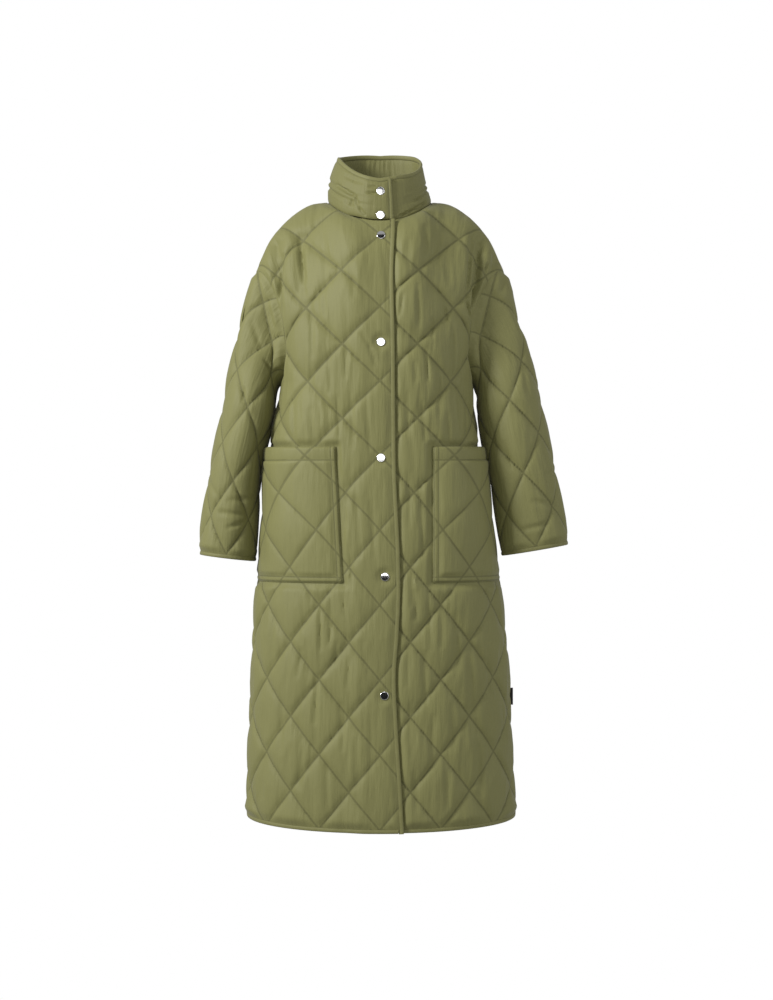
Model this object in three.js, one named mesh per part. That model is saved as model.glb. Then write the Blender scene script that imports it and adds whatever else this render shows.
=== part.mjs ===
// A midi-length quilted coat, filled out as if worn, with nobody in it.
// Millimetres, +Z up. The front faces -Y, and the wearer's left is +X.
// The origin is the middle of the neck's base, level with the tops of the shoulders.
// Each panel is cut flat, in cloth coordinates: u runs round the coat and v runs up the cloth.
// A map then carries the flat panel into its place on the filled-out coat.
import * as THREE from "three";

const { Vector2, Vector3 } = THREE;

// Cloth
const WALL = 3;
const PUFF = 7;
const GAP = 0.3;
const HALF_GAP = GAP / 2;
const SEAM_TAPER = 24;
const DIAMOND = { width: 114, height: 131.5 };
// The fronts' diamonds, which are drawn in across the skirt
const FRONT_DIAMOND = { skirt: 107, chest: 131, fromV: 484, toV: 694 };
const CELLS_PER_DIAMOND = 4;
const SAG = 0.15;
const BINDING = { width: 9, low: -0.8, high: 4.2 };

// Sides and faces of the coat
const RIGHT = -1;
const LEFT = 1;
const FRONT = -1;
const BACK = 1;

// Body, measured to the inner face. Half widths are told apart because it hangs a little to one side.
const HEM_Z = -1124;
const CHEST_Z = -330;
const CHEST_V = CHEST_Z - HEM_Z;
const HEM_RISE = 15;
const BODY = [
  { z: -1124, right: 240, left: 245, front: 152, back: 150, power: 2.2 },
  { z: -1012, right: 234, left: 235, front: 150, back: 148, power: 2.25 },
  { z: -866, right: 228, left: 228, front: 148, back: 146, power: 2.3 },
  { z: -793, right: 224, left: 223, front: 147, back: 144, power: 2.35 },
  { z: -684, right: 216, left: 211, front: 144, back: 142, power: 2.4 },
  { z: -593, right: 205, left: 195, front: 141, back: 139, power: 2.45 },
  { z: -540, right: 198, left: 187, front: 139, back: 138, power: 2.5 },
  { z: -430, right: 183, left: 165, front: 135, back: 135, power: 2.6 },
  { z: -330, right: 170, left: 158, front: 133, back: 133, power: 2.7 },
];

// Neck and shoulders
const NECK = { halfWidth: 95, cut: 91, frontDepth: 88, frontZ: -43, backDepth: 62, backZ: 17, sideZ: 0 };
const SHOULDER = [
  { x: 95, z: 0 },
  { x: 128, z: -6 },
  { x: 165, z: -31 },
  { x: 195, z: -66 },
  { x: 213.5, z: -104 },
  { x: 224.5, z: -130 },
];
const SHOULDER_CUT_END = 8;

// How the cloth bends from the chest to the top edge: its way at the edge, and the pull of each end
const HEADING = {
  [FRONT]: new Vector3(0, -0.45, 0.9),
  [BACK]: new Vector3(0, -0.4, 0.92),
  shoulder: new Vector3(0, -1, 0.16),
};
const CHEST_PULL = 0.45;
const HEADING_REACH = { neck: 62, tip: 80 };

// Armhole, as steps in cloth coordinates from the shoulder tip and from the underarm
const ARMHOLE = { tipIn: 36, tipDown: 34, lowIn: 100, lowUp: 20, points: 48, gap: 0.9 };

// Front edges and their overlap
const OVERLAP = 17;
const UNDERLAP = 30;
const LIFT = 6.5;
const LIFT_FROM = 62;
const LIFT_TO = 24;
const PLACKET = 30;
// How far the right front's edge wanders towards the wearer's left, up the cloth
const EDGE_DRIFT = [
  { v: 0, drift: 16.5 },
  { v: 92, drift: 11.4 },
  { v: 185, drift: 5.5 },
  { v: 275, drift: 2 },
  { v: 340, drift: 6.5 },
  { v: 418, drift: 10 },
  { v: 505, drift: 8.5 },
  { v: 627, drift: 2.6 },
  { v: 743, drift: 1.2 },
  { v: 878, drift: 0 },
  { v: 985, drift: -2.5 },
  { v: 1066, drift: 0 },
];

// Vents at the foot of the side seams
const VENT = { top: 205, gap: 2.5, corner: 20, turns: 8 };

// Sleeves, measured to the inner face
const SLEEVE_FLAT = 427;
const SLEEVE_JOIN_V = 265;
const SLEEVE_BEND = { drop: 0.4, ringPull: 0.38, holePull: 0.34, underPull: 0.1, underStep: 1.9 };
const SLEEVES = {
  [RIGHT]: {
    tilt: 0.12,
    rows: [
      { z: -644, centre: 276, halfX: 47.5, halfY: 49, y: -14 },
      { z: -544, centre: 267.5, halfX: 42.5, halfY: 56, y: -8 },
      { z: -461, centre: 256, halfX: 40, halfY: 63, y: -4 },
      { z: -379, centre: 238, halfX: 42, halfY: 70, y: 0 },
      { z: -304, centre: 229.5, halfX: 41.5, halfY: 74, y: 0 },
    ],
  },
  [LEFT]: {
    tilt: 0.17,
    rows: [
      { z: -630, centre: 281, halfX: 57, halfY: 40, y: -14 },
      { z: -530, centre: 265, halfX: 54, halfY: 48, y: -8 },
      { z: -428, centre: 244.5, halfX: 54.5, halfY: 56, y: -4 },
      { z: -365, centre: 233, halfX: 52, halfY: 61, y: 0 },
      { z: -290, centre: 224, halfX: 47, halfY: 68, y: 0 },
    ],
  },
};

// Collar
const COLLAR = { height: 78, underEnd: 34, overEnd: 26, inset: 3.9, corner: 7 };
const COLLAR_RISE = { over: 3.4, from: 75, to: 45 };
const COLLAR_SHAPE = { topScaleX: 0.8, topScaleY: 0.91, bow: 5, sideRise: 0.08 };
// The collar's top sags beside the wearer's left cheek, and not behind it
const COLLAR_DIP = { share: 0.2, fromX: 30, toX: 95, frontY: -30, backY: 42 };

// Pockets: inner edge at the top and at the foot, in cloth coordinates
const POCKET = {
  topZ: -445,
  footZ: -685,
  band: 24,
  base: 3.4,
  wall: 3,
  puff: 5,
  seamGap: 1.2,
  belly: 8,
  bellyFull: 0.45,
  gape: 9,
  gapeFrom: 0.35,
};
const POCKET_EDGE = { [RIGHT]: { top: 77, foot: 64 }, [LEFT]: { top: 93, foot: 93 } };

// Where the quilting fades, as distances over which it does so
const FADE = {
  placket: { from: PLACKET - 8, to: PLACKET + 12, under: 5 },
  collar: { from: PLACKET - 6, to: PLACKET + 16, share: 0.6 },
  besidePocket: { from: 46, to: 26 },
  belowPocket: { from: 34, to: 10 },
  abovePocket: { from: 4, to: 20 },
  side: { from: 60, to: 25, share: 0.5, chest: 40 },
  sleeveInside: { from: 30, to: 70, share: 0.5 },
};

// How closely lines are stepped
const FOLD_END = 20;
const RING_STEPS = 64;
const SHOULDER_STEPS = 48;
const COLUMN_STEPS = 28;
const COLLAR_QUARTER_STEPS = 48;
const NORMAL_STEP = 0.6;
const TOP_STEPS = 44;
const NECK_STEPS = 20;
const ARMHOLE_STEPS = 40;
const SLEEVE_TOP_STEPS = 64;
const LINE_STEP = { hem: 20, seam: 20, edge: 15, sleeve: 30, cuff: 17, collar: 14, pocket: 16 };

// Snaps
const SNAP = { radius: 7.5, rim: 1.1, dome: 2.3, shoulder: 0.94, segments: 18, rings: 4, stand: 0.65 };
const FRONT_SNAPS_Z = [-67, -261, -465, -674, -882];
const FRONT_SNAPS_U = [2, 2, 2, 9, 8];
const COLLAR_SNAPS_H = [54, 11];

// Tab in the left side seam
const TAB = { height: 31, thick: 1.6, reach: 5, z: -896 };

// Colours
const OLIVE = new THREE.MeshStandardMaterial({ color: 0x7d7d52, roughness: 0.75, metalness: 0 });
const STEEL = new THREE.MeshStandardMaterial({ color: 0xdcdcd8, roughness: 0.15, metalness: 1 });
const BLACK = new THREE.MeshStandardMaterial({ color: 0x17120f, roughness: 0.7, metalness: 0 });

// Small helpers

function smooth(from, to, value) {
  const t = Math.min(1, Math.max(0, (value - from) / (to - from)));
  return t * t * (3 - 2 * t);
}

// A smooth curve through the rows of a table, read at a value of its key column
function readTable(rows, key, column, value) {
  const last = rows.length - 1;
  let i = 0;
  while (i < last - 1 && value > rows[i + 1][key]) i += 1;
  const slope = (a, b) => (rows[b][column] - rows[a][column]) / (rows[b][key] - rows[a][key]);
  const here = slope(i, i + 1);
  const before = i > 0 ? slope(i - 1, i + 1) : here;
  const after = i + 2 <= last ? slope(i, i + 2) : here;
  const step = rows[i + 1][key] - rows[i][key];
  const t = Math.min(1.2, Math.max(-0.2, (value - rows[i][key]) / step));
  const t2 = t * t;
  const t3 = t2 * t;
  return (
    (2 * t3 - 3 * t2 + 1) * rows[i][column] +
    (t3 - 2 * t2 + t) * step * before +
    (3 * t2 - 2 * t3) * rows[i + 1][column] +
    (t3 - t2) * step * after
  );
}

// A row of points with its running length, to find a point at a length along it
class MeasuredLine {
  constructor(points) {
    this.points = points;
    this.lengths = [0];
    for (let i = 1; i < points.length; i += 1) {
      this.lengths.push(this.lengths[i - 1] + points[i].distanceTo(points[i - 1]));
    }
    this.length = this.lengths[points.length - 1];
  }

  at(length) {
    let i = 0;
    while (i < this.points.length - 2 && length > this.lengths[i + 1]) i += 1;
    const t = (length - this.lengths[i]) / (this.lengths[i + 1] - this.lengths[i]);
    return this.points[i].clone().lerp(this.points[i + 1], t);
  }
}

function bezier(p0, p1, p2, p3, steps) {
  const Curve = p0.isVector3 ? THREE.CubicBezierCurve3 : THREE.CubicBezierCurve;
  return new MeasuredLine(new Curve(p0, p1, p2, p3).getPoints(steps));
}

// Points along a stretch from one number to another, one for each step
function pointsAlong(from, to, steps, pointAt) {
  return Array.from({ length: steps + 1 }, (_, i) => pointAt(from + ((to - from) * i) / steps));
}

// Body map

const ringCache = new Map();

// A quarter of the body's section at one height, from the centre line to the side seam
function bodyRing(side, face, z) {
  const key = side + "," + face + "," + z.toFixed(3);
  if (!ringCache.has(key)) {
    const width = readTable(BODY, "z", side === RIGHT ? "right" : "left", z);
    const depth = readTable(BODY, "z", face === FRONT ? "front" : "back", z);
    const power = 2 / readTable(BODY, "z", "power", z);
    const points = pointsAlong(0, Math.PI / 2, RING_STEPS, (angle) => {
      const forward = Math.max(0, Math.cos(angle)) ** power;
      return new Vector2(width * Math.sin(angle) ** power, depth * forward);
    });
    points[RING_STEPS].y = 0;
    ringCache.set(key, new MeasuredLine(points));
  }
  return ringCache.get(key);
}

function seamCut(side, face, v) {
  return bodyRing(side, face, HEM_Z + Math.min(v, CHEST_V)).length;
}

const shoulderLine = new MeasuredLine(
  pointsAlong(SHOULDER[0].x, SHOULDER[SHOULDER.length - 1].x, SHOULDER_STEPS, (x) => {
    return new Vector2(x, readTable(SHOULDER, "x", "z", x));
  }),
);

function tipCut(side, face) {
  return seamCut(side, face, CHEST_V) - SHOULDER_CUT_END;
}

// The top edge of the body: the neckline, then the shoulder seam. x and y are told outwards.
function topEdge(side, face, u) {
  if (u <= NECK.cut) {
    const share = u / NECK.cut;
    const depth = face === FRONT ? NECK.frontDepth : NECK.backDepth;
    const centreZ = face === FRONT ? NECK.frontZ : NECK.backZ;
    const away = Math.sqrt(Math.max(0, 1 - share * share));
    const z = NECK.sideZ + (centreZ - NECK.sideZ) * away ** 1.5;
    return new Vector3(NECK.halfWidth * share, depth * away, z);
  }
  const share = (u - NECK.cut) / (tipCut(side, face) - NECK.cut);
  const point = shoulderLine.at(shoulderLine.length * share);
  return new Vector3(point.x, 0, point.y);
}

// The way the cloth runs as it reaches the top edge
function topHeading(face, u) {
  return HEADING[face].clone().lerp(HEADING.shoulder, smooth(0, NECK.cut, u)).normalize();
}

// One line up the cloth, from the chest to the top edge
function bodyColumn(side, face, u) {
  const foot = bodyRing(side, face, CHEST_Z).at(u);
  const start = new Vector3(foot.x, foot.y, CHEST_Z);
  const end = topEdge(side, face, u);
  const rise = end.z - start.z;
  const startHandle = start.clone().add(new Vector3(0, 0, rise * CHEST_PULL));
  const outwards = smooth(NECK.cut, tipCut(side, face), u);
  const reach = HEADING_REACH.neck + (HEADING_REACH.tip - HEADING_REACH.neck) * outwards;
  const endHandle = end.clone().addScaledVector(topHeading(face, u), -reach);
  return bezier(start, startHandle, endHandle, end, COLUMN_STEPS);
}

function bodyTop(side, face, u) {
  return CHEST_V + bodyColumn(side, face, Math.abs(u)).length;
}

// Large soft folds, as rows: where each starts and ends, how wide it spreads and how deep it sinks
const FOLDS = {
  [LEFT]: [
    { u0: 168, v0: 1062, u1: 186, v1: 905, width: 17, depth: 9 },
    { u0: 206, v0: 1040, u1: 216, v1: 960, width: 13, depth: 7 },
  ],
  [RIGHT]: [
    { u0: 132, v0: 1060, u1: 138, v1: 960, width: 17, depth: 5 },
    { u0: 178, v0: 1050, u1: 196, v1: 930, width: 15, depth: 6 },
  ],
};

function foldDepth(side, face, u, v) {
  let depth = 0;
  for (const fold of FOLDS[side]) {
    const along = new Vector2(fold.u1 - fold.u0, fold.v1 - fold.v0);
    const from = new Vector2(u - fold.u0, v - fold.v0);
    const t = Math.min(1, Math.max(0, from.dot(along) / along.lengthSq()));
    const distance = from.addScaledVector(along, -t).length();
    depth += fold.depth * Math.exp(-((distance / fold.width) ** 2));
  }
  return face === FRONT ? depth : 0.6 * depth;
}

// The inner face of the body at a point of the cloth
function bodyPoint(side, face, u, v) {
  const across = Math.abs(u);
  const limit = seamCut(side, face, v);
  const inside = Math.min(across, limit);
  let point;
  if (v <= CHEST_V) {
    const flat = bodyRing(side, face, HEM_Z + v).at(inside);
    point = new Vector3(flat.x, flat.y, HEM_Z + v);
  } else {
    point = bodyColumn(side, face, inside).at(v - CHEST_V);
  }
  point.y -= across - inside;
  point.x *= side * (u < 0 ? -1 : 1);
  point.y *= face;
  return point;
}

// The right front rides over the left one near the centre
function frontLift(side, u) {
  return side === RIGHT ? LIFT * (1 - smooth(LIFT_TO, LIFT_FROM, u)) : 0;
}

// Outward normal of a map, from small steps each way
function normalOf(map, u, v, turn) {
  const across = map(u + NORMAL_STEP, v).sub(map(u - NORMAL_STEP, v));
  const up = map(u, v + NORMAL_STEP).sub(map(u, v - NORMAL_STEP));
  return across.cross(up).multiplyScalar(turn).normalize();
}

// A surface holds a map and its outward normal
function surface(map, turn) {
  return { map, normal: (u, v) => normalOf(map, u, v, turn) };
}

function bodySurface(side, face) {
  const plain = surface((u, v) => bodyPoint(side, face, u, v), side * face * -1);
  const map = (u, v) => {
    const point = plain.map(u, v);
    if (face === FRONT) point.y -= frontLift(side, u);
    return point;
  };
  return surface(map, side * face * -1);
}

// Sleeve map. u starts at the underarm seam and runs round by the front.

function armholeCut(side, face) {
  const tip = tipCut(side, face);
  const tipV = bodyTop(side, face, tip);
  const low = seamCut(side, face, CHEST_V);
  return bezier(
    new Vector2(tip, tipV),
    new Vector2(tip - ARMHOLE.tipIn, tipV - ARMHOLE.tipDown),
    new Vector2(low - ARMHOLE.lowIn, CHEST_V + ARMHOLE.lowUp),
    new Vector2(low, CHEST_V),
    ARMHOLE.points,
  );
}

const armholes = {};
for (const side of [RIGHT, LEFT]) {
  armholes[side] = { [FRONT]: armholeCut(side, FRONT), [BACK]: armholeCut(side, BACK) };
}

// The armhole loop at a share of the way round, with the body's own directions there
function armholeAt(side, share) {
  const face = share <= 0.5 ? FRONT : BACK;
  const line = armholes[side][face];
  const fromTip = face === FRONT ? 1 - 2 * share : 2 * share - 1;
  const spot = line.at(line.length * fromTip);
  const wall = bodySurface(side, face);
  const point = wall.map(spot.x, spot.y);
  const normal = wall.normal(spot.x, spot.y);
  const step = line.length * 0.004;
  const before = line.at(Math.max(0, line.length * fromTip - step));
  const after = line.at(Math.min(line.length, line.length * fromTip + step));
  const along = wall.map(after.x, after.y).sub(wall.map(before.x, before.y)).normalize();
  const across = along.clone().cross(normal).normalize();
  const flatAlong = after.clone().sub(before);
  const outFlat = new Vector2(-flatAlong.y, flatAlong.x).normalize();
  if (outFlat.x + outFlat.y < 0) outFlat.negate();
  const trial = wall.map(spot.x + outFlat.x, spot.y + outFlat.y).sub(point);
  if (trial.dot(across) < 0) across.negate();
  return { point, normal, across };
}

function sleeveRing(side, share, v) {
  const { rows, tilt } = SLEEVES[side];
  const z = rows[0].z + v;
  const read = (column) => readTable(rows, "z", column, z);
  const angle = 2 * Math.PI * share;
  const x = -read("halfX") * Math.cos(angle);
  return new Vector3(side * (read("centre") + x), read("y") - read("halfY") * Math.sin(angle), z + tilt * x);
}

const sleeveColumns = new Map();

// One line up the sleeve, from where its full rings end to the armhole
function sleeveColumn(side, share) {
  const key = side + "," + share.toFixed(6);
  if (!sleeveColumns.has(key)) {
    const hole = armholeAt(side, Math.min(1, Math.max(0, share)));
    const under = Math.max(0, Math.cos(2 * Math.PI * share)) ** 1.5;
    const heading = hole.across
      .clone()
      .multiplyScalar(1 - under)
      .addScaledVector(hole.normal, under)
      .add(new Vector3(0, 0, -SLEEVE_BEND.drop * (1 - under)))
      .normalize();
    const start = sleeveRing(side, share, SLEEVE_JOIN_V);
    const rise = start.clone().sub(sleeveRing(side, share, SLEEVE_JOIN_V - 4)).normalize();
    const turned = under ** 0.6 * WALL * SLEEVE_BEND.underStep;
    const end = hole.point.clone().addScaledVector(hole.across, ARMHOLE.gap + turned);
    const span = start.distanceTo(end);
    const pull = SLEEVE_BEND.holePull + SLEEVE_BEND.underPull * under;
    const startHandle = start.clone().addScaledVector(rise, span * SLEEVE_BEND.ringPull);
    const endHandle = end.clone().addScaledVector(heading, span * pull);
    sleeveColumns.set(key, bezier(start, startHandle, endHandle, end, COLUMN_STEPS));
  }
  return sleeveColumns.get(key);
}

function sleevePoint(side, u, v) {
  const share = u / SLEEVE_FLAT;
  if (v <= SLEEVE_JOIN_V) return sleeveRing(side, share, v);
  return sleeveColumn(side, share).at(v - SLEEVE_JOIN_V);
}

function sleeveTop(side, u) {
  return SLEEVE_JOIN_V + sleeveColumn(side, u / SLEEVE_FLAT).length;
}

function sleeveSurface(side) {
  return surface((u, v) => sleevePoint(side, u, v), side);
}

// Collar map. u runs from the left end, which lies underneath, round the back to the right end on top.

const collarLoop = new MeasuredLine(
  pointsAlong(0, 4, 4 * COLLAR_QUARTER_STEPS, (quarter) => {
    const face = quarter <= 1 || quarter > 3 ? FRONT : BACK;
    const side = quarter <= 2 ? LEFT : RIGHT;
    const fromCentre = [quarter, 2 - quarter, quarter - 2, 4 - quarter][Math.min(3, Math.floor(quarter))];
    const point = topEdge(side, face, NECK.cut * Math.sin((Math.PI / 2) * fromCentre));
    return new Vector3(point.x * side, point.y * face, point.z);
  }),
);

function collarPoint(u, h) {
  const length = collarLoop.length;
  let foot;
  if (u < 0) {
    foot = collarLoop.at(-u);
    foot.x *= -1;
  } else if (u > length) {
    foot = collarLoop.at(2 * length - u);
    foot.x *= -1;
  } else {
    foot = collarLoop.at(u);
  }
  const t = h / COLLAR.height;
  const radial = new Vector2(foot.x, foot.y);
  const size = radial.length();
  const lean = COLLAR_SHAPE.bow * (0.3 - (0.9 * foot.x) / NECK.halfWidth);
  const bow = lean * Math.sin(Math.PI * Math.min(1, Math.max(0, t)));
  const inset = (size - COLLAR.inset + bow) / size;
  const lift = LIFT * smooth(length - LIFT_FROM, length - LIFT_TO, u);
  const beside = smooth(COLLAR_DIP.fromX, COLLAR_DIP.toX, foot.x);
  const dip = COLLAR_DIP.share * beside * (1 - smooth(COLLAR_DIP.frontY, COLLAR_DIP.backY, foot.y));
  return new Vector3(
    foot.x * inset * (1 + (COLLAR_SHAPE.topScaleX - 1) * t),
    foot.y * inset * (1 + (COLLAR_SHAPE.topScaleY - 1) * t) - lift,
    foot.z + h * (1 + (COLLAR_SHAPE.sideRise * Math.abs(foot.x)) / NECK.halfWidth - dip),
  );
}

const collarSurface = surface(collarPoint, 1);

// Cutting a flat panel

// The shape of one stitched diamond: 0 on the stitch lines, 1 in its middle
function quiltShape(lattice, u, v) {
  const i = (CELLS_PER_DIAMOND * (u - lattice.u)) / lattice.width(v);
  const j = (CELLS_PER_DIAMOND * (v - lattice.v)) / lattice.height;
  const rising = Math.abs(Math.sin((Math.PI * (i - j)) / CELLS_PER_DIAMOND));
  const falling = Math.abs(Math.sin((Math.PI * (i + j)) / CELLS_PER_DIAMOND));
  return Math.sqrt(rising * falling);
}

function insideOutline(outline, p) {
  let inside = false;
  for (let i = 0, j = outline.length - 1; i < outline.length; j = i, i += 1) {
    const a = outline[i];
    const b = outline[j];
    if (a.y > p.y !== b.y > p.y && p.x < ((b.x - a.x) * (p.y - a.y)) / (b.y - a.y) + a.x) inside = !inside;
  }
  return inside;
}

function nearestOnOutline(outline, p) {
  let best = null;
  let least = Infinity;
  for (let i = 0; i < outline.length; i += 1) {
    const a = outline[i];
    const along = outline[(i + 1) % outline.length].clone().sub(a);
    const t = Math.min(1, Math.max(0, p.clone().sub(a).dot(along) / Math.max(along.lengthSq(), 1e-9)));
    const point = a.clone().addScaledVector(along, t);
    const distance = point.distanceTo(p);
    if (distance < least) {
      least = distance;
      best = point;
    }
  }
  return { point: best, distance: least };
}

function sharpCorners(outline) {
  return outline.filter((p, i) => {
    const before = outline[(i + outline.length - 1) % outline.length];
    const after = outline[(i + 1) % outline.length];
    const turn = p.clone().sub(before).normalize().dot(after.clone().sub(p).normalize());
    return turn < Math.cos(0.5);
  });
}

// Cuts a panel from a grid whose cells and diagonals follow the quilting. Grid points near the
// outline move onto it, and the triangles that still cross it are trimmed.
function cutPanel(outline, lattice) {
  const stepU = (v) => lattice.width(v) / CELLS_PER_DIAMOND;
  const stepV = lattice.height / CELLS_PER_DIAMOND;
  const low = { i: Infinity, j: Infinity };
  const high = { i: -Infinity, j: -Infinity };
  for (const p of outline) {
    low.i = Math.min(low.i, Math.floor((p.x - lattice.u) / stepU(p.y)) - 1);
    low.j = Math.min(low.j, Math.floor((p.y - lattice.v) / stepV) - 1);
    high.i = Math.max(high.i, Math.ceil((p.x - lattice.u) / stepU(p.y)) + 1);
    high.j = Math.max(high.j, Math.ceil((p.y - lattice.v) / stepV) + 1);
  }
  const points = [];
  const states = [];
  const grid = new Map();
  const add = (p, state) => {
    points.push(p);
    states.push(state);
    return points.length - 1;
  };
  for (let i = low.i; i <= high.i; i += 1) {
    for (let j = low.j; j <= high.j; j += 1) {
      const v = lattice.v + j * stepV;
      const p = new Vector2(lattice.u + i * stepU(v), v);
      grid.set(i + "," + j, add(p, insideOutline(outline, p) ? -1 : 1));
    }
  }
  for (const corner of sharpCorners(outline)) {
    let best = -1;
    points.forEach((p, k) => {
      if (states[k] !== 0 && (best < 0 || p.distanceTo(corner) < points[best].distanceTo(corner))) best = k;
    });
    points[best] = corner.clone();
    states[best] = 0;
  }
  points.forEach((p, k) => {
    if (states[k] === 0) return;
    const reach = 0.33 * Math.min(stepU(p.y), stepV);
    const near = nearestOnOutline(outline, p);
    if (near.distance > reach) return;
    const crowded = points.some((q, other) => states[other] === 0 && q.distanceTo(near.point) < reach);
    if (crowded) return;
    points[k] = near.point;
    states[k] = 0;
  });
  const cuts = new Map();
  const cut = (a, b) => {
    const key = Math.min(a, b) + "," + Math.max(a, b);
    if (!cuts.has(key)) {
      let inner = states[a] < 0 ? points[a].clone() : points[b].clone();
      let outer = states[a] < 0 ? points[b].clone() : points[a].clone();
      for (let round = 0; round < 40; round += 1) {
        const middle = inner.clone().lerp(outer, 0.5);
        if (insideOutline(outline, middle)) inner = middle;
        else outer = middle;
      }
      cuts.set(key, add(inner, 0));
    }
    return cuts.get(key);
  };
  const triangles = [];
  const trim = (corners) => {
    const signs = corners.map((k) => states[k]);
    if (signs.every((sign) => sign === 0)) {
      const [a, b, c] = corners.map((k) => points[k]);
      const centre = a.clone().add(b).add(c).divideScalar(3);
      if (insideOutline(outline, centre)) triangles.push(corners);
      return;
    }
    if (!signs.includes(-1)) return;
    const loop = [];
    corners.forEach((k, n) => {
      const next = corners[(n + 1) % 3];
      if (states[k] <= 0) loop.push(k);
      if (states[k] * states[next] < 0) loop.push(cut(k, next));
    });
    for (let n = 1; n + 1 < loop.length; n += 1) triangles.push([loop[0], loop[n], loop[n + 1]]);
  };
  for (let i = low.i; i < high.i; i += 1) {
    for (let j = low.j; j < high.j; j += 1) {
      const a = grid.get(i + "," + j);
      const b = grid.get(i + 1 + "," + j);
      const c = grid.get(i + 1 + "," + (j + 1));
      const d = grid.get(i + "," + (j + 1));
      const apart = (((i - j) % CELLS_PER_DIAMOND) + CELLS_PER_DIAMOND) % CELLS_PER_DIAMOND;
      const rising = apart === 0 || apart === 2;
      if (rising) {
        trim([a, b, c]);
        trim([a, c, d]);
      } else {
        trim([a, b, d]);
        trim([b, c, d]);
      }
    }
  }
  return { points, triangles: triangles.filter(([a, b, c]) => flatArea(points, a, b, c) > 0.05) };
}

function flatArea(points, a, b, c) {
  const ab = points[b].clone().sub(points[a]);
  const ac = points[c].clone().sub(points[a]);
  return ab.cross(ac) / 2;
}

// Directed edges that only one triangle has
function rimEdges(triangles) {
  const seen = new Map();
  triangles.forEach((triangle, t) => {
    triangle.forEach((a, n) => {
      const b = triangle[(n + 1) % 3];
      if (seen.has(b + "," + a)) seen.delete(b + "," + a);
      else seen.set(a + "," + b, { a, b, t });
    });
  });
  return [...seen.values()];
}

// Splits the stretches of the rim that curve most on the coat, with the new points on the outline
function refineEdge(panel, outline, place) {
  for (let round = 0; round < 3; round += 1) {
    const used = new Set();
    for (const edge of rimEdges(panel.triangles)) {
      const a = panel.points[edge.a];
      const b = panel.points[edge.b];
      const between = nearestOnOutline(outline, a.clone().lerp(b, 0.5)).point;
      const chord = place.map(a.x, a.y).lerp(place.map(b.x, b.y), 0.5);
      if (place.map(between.x, between.y).distanceTo(chord) < SAG || used.has(edge.t)) continue;
      used.add(edge.t);
      panel.points.push(between);
      const middle = panel.points.length - 1;
      const triangle = panel.triangles[edge.t];
      const tip = triangle.find((k) => k !== edge.a && k !== edge.b);
      panel.triangles[edge.t] = [edge.a, middle, tip];
      panel.triangles.push([middle, edge.b, tip]);
    }
  }
}

// Gives a flat panel its two faces and its rim, and carries it onto a surface
function wallGeometry(panel, place, innerAt, outerAt) {
  const used = new Map();
  const positions = [];
  const indexOf = (k) => {
    if (!used.has(k)) {
      const p = panel.points[k];
      const base = place.map(p.x, p.y);
      const normal = place.normal(p.x, p.y);
      const inner = base.clone().addScaledVector(normal, innerAt(p.x, p.y));
      const outer = base.clone().addScaledVector(normal, outerAt(p.x, p.y));
      used.set(k, positions.length / 3);
      positions.push(inner.x, inner.y, inner.z, outer.x, outer.y, outer.z);
    }
    return used.get(k);
  };
  const faces = [];
  for (const triangle of panel.triangles) {
    const [a, b, c] = triangle.map(indexOf);
    faces.push([a + 1, b + 1, c + 1], [a, c, b]);
  }
  for (const edge of rimEdges(panel.triangles)) {
    const a = indexOf(edge.a);
    const b = indexOf(edge.b);
    faces.push([a, b, b + 1], [a, b + 1, a + 1]);
  }
  return solidGeometry(positions, faces);
}

// Turns the faces outwards if the map mirrored them
function solidGeometry(positions, faces) {
  let volume = 0;
  const at = (k) => new Vector3(positions[3 * k], positions[3 * k + 1], positions[3 * k + 2]);
  for (const [a, b, c] of faces) volume += at(a).dot(at(b).cross(at(c))) / 6;
  const outward = volume > 0 ? faces : faces.map(([a, b, c]) => [a, c, b]);
  const geometry = new THREE.BufferGeometry();
  geometry.setAttribute("position", new THREE.Float32BufferAttribute(positions, 3));
  geometry.setIndex(outward.flat());
  return geometry;
}

// Moves every stretch of an outline inwards or outwards by a distance of its own, given by a function
function offsetLine(line, distance) {
  return line.map((p, i) => {
    const before = line[Math.max(0, i - 1)];
    const after = line[Math.min(line.length - 1, i + 1)];
    const first = p.clone().sub(before).normalize();
    const second = after.clone().sub(p).normalize();
    if (i === 0) first.copy(second);
    if (i === line.length - 1) second.copy(first);
    const normal = new Vector2(-first.y - second.y, first.x + second.x).normalize();
    const stretch = 1 / Math.max(0.5, normal.dot(new Vector2(-first.y, first.x)));
    return p.clone().addScaledVector(normal, distance * stretch);
  });
}

// A binding is a bar that follows an edge of the cloth, between the edge line and an inner line
function bindingGeometry(edge, place, width, low, high) {
  const inner = offsetLine(edge, width);
  const positions = [];
  const faces = [];
  edge.forEach((p, i) => {
    const q = inner[i];
    const spots = [
      [p, low],
      [p, high],
      [q, high],
      [q, low],
    ];
    for (const [spot, height] of spots) {
      const point = place.map(spot.x, spot.y).addScaledVector(place.normal(spot.x, spot.y), height);
      positions.push(point.x, point.y, point.z);
    }
  });
  const sides = 4;
  for (let i = 0; i + 1 < edge.length; i += 1) {
    for (let k = 0; k < sides; k += 1) {
      const a = i * sides + k;
      const b = i * sides + ((k + 1) % sides);
      faces.push([a, b, b + sides], [a, b + sides, a + sides]);
    }
  }
  const last = (edge.length - 1) * sides;
  for (let k = 1; k + 1 < sides; k += 1) {
    faces.push([0, k + 1, k]);
    faces.push([last, last + k, last + k + 1]);
  }
  return solidGeometry(positions, faces);
}

function lineBetween(a, b, step) {
  const count = Math.max(1, Math.ceil(a.distanceTo(b) / step));
  return Array.from({ length: count + 1 }, (_, i) => a.clone().lerp(b, i / count));
}

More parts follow.
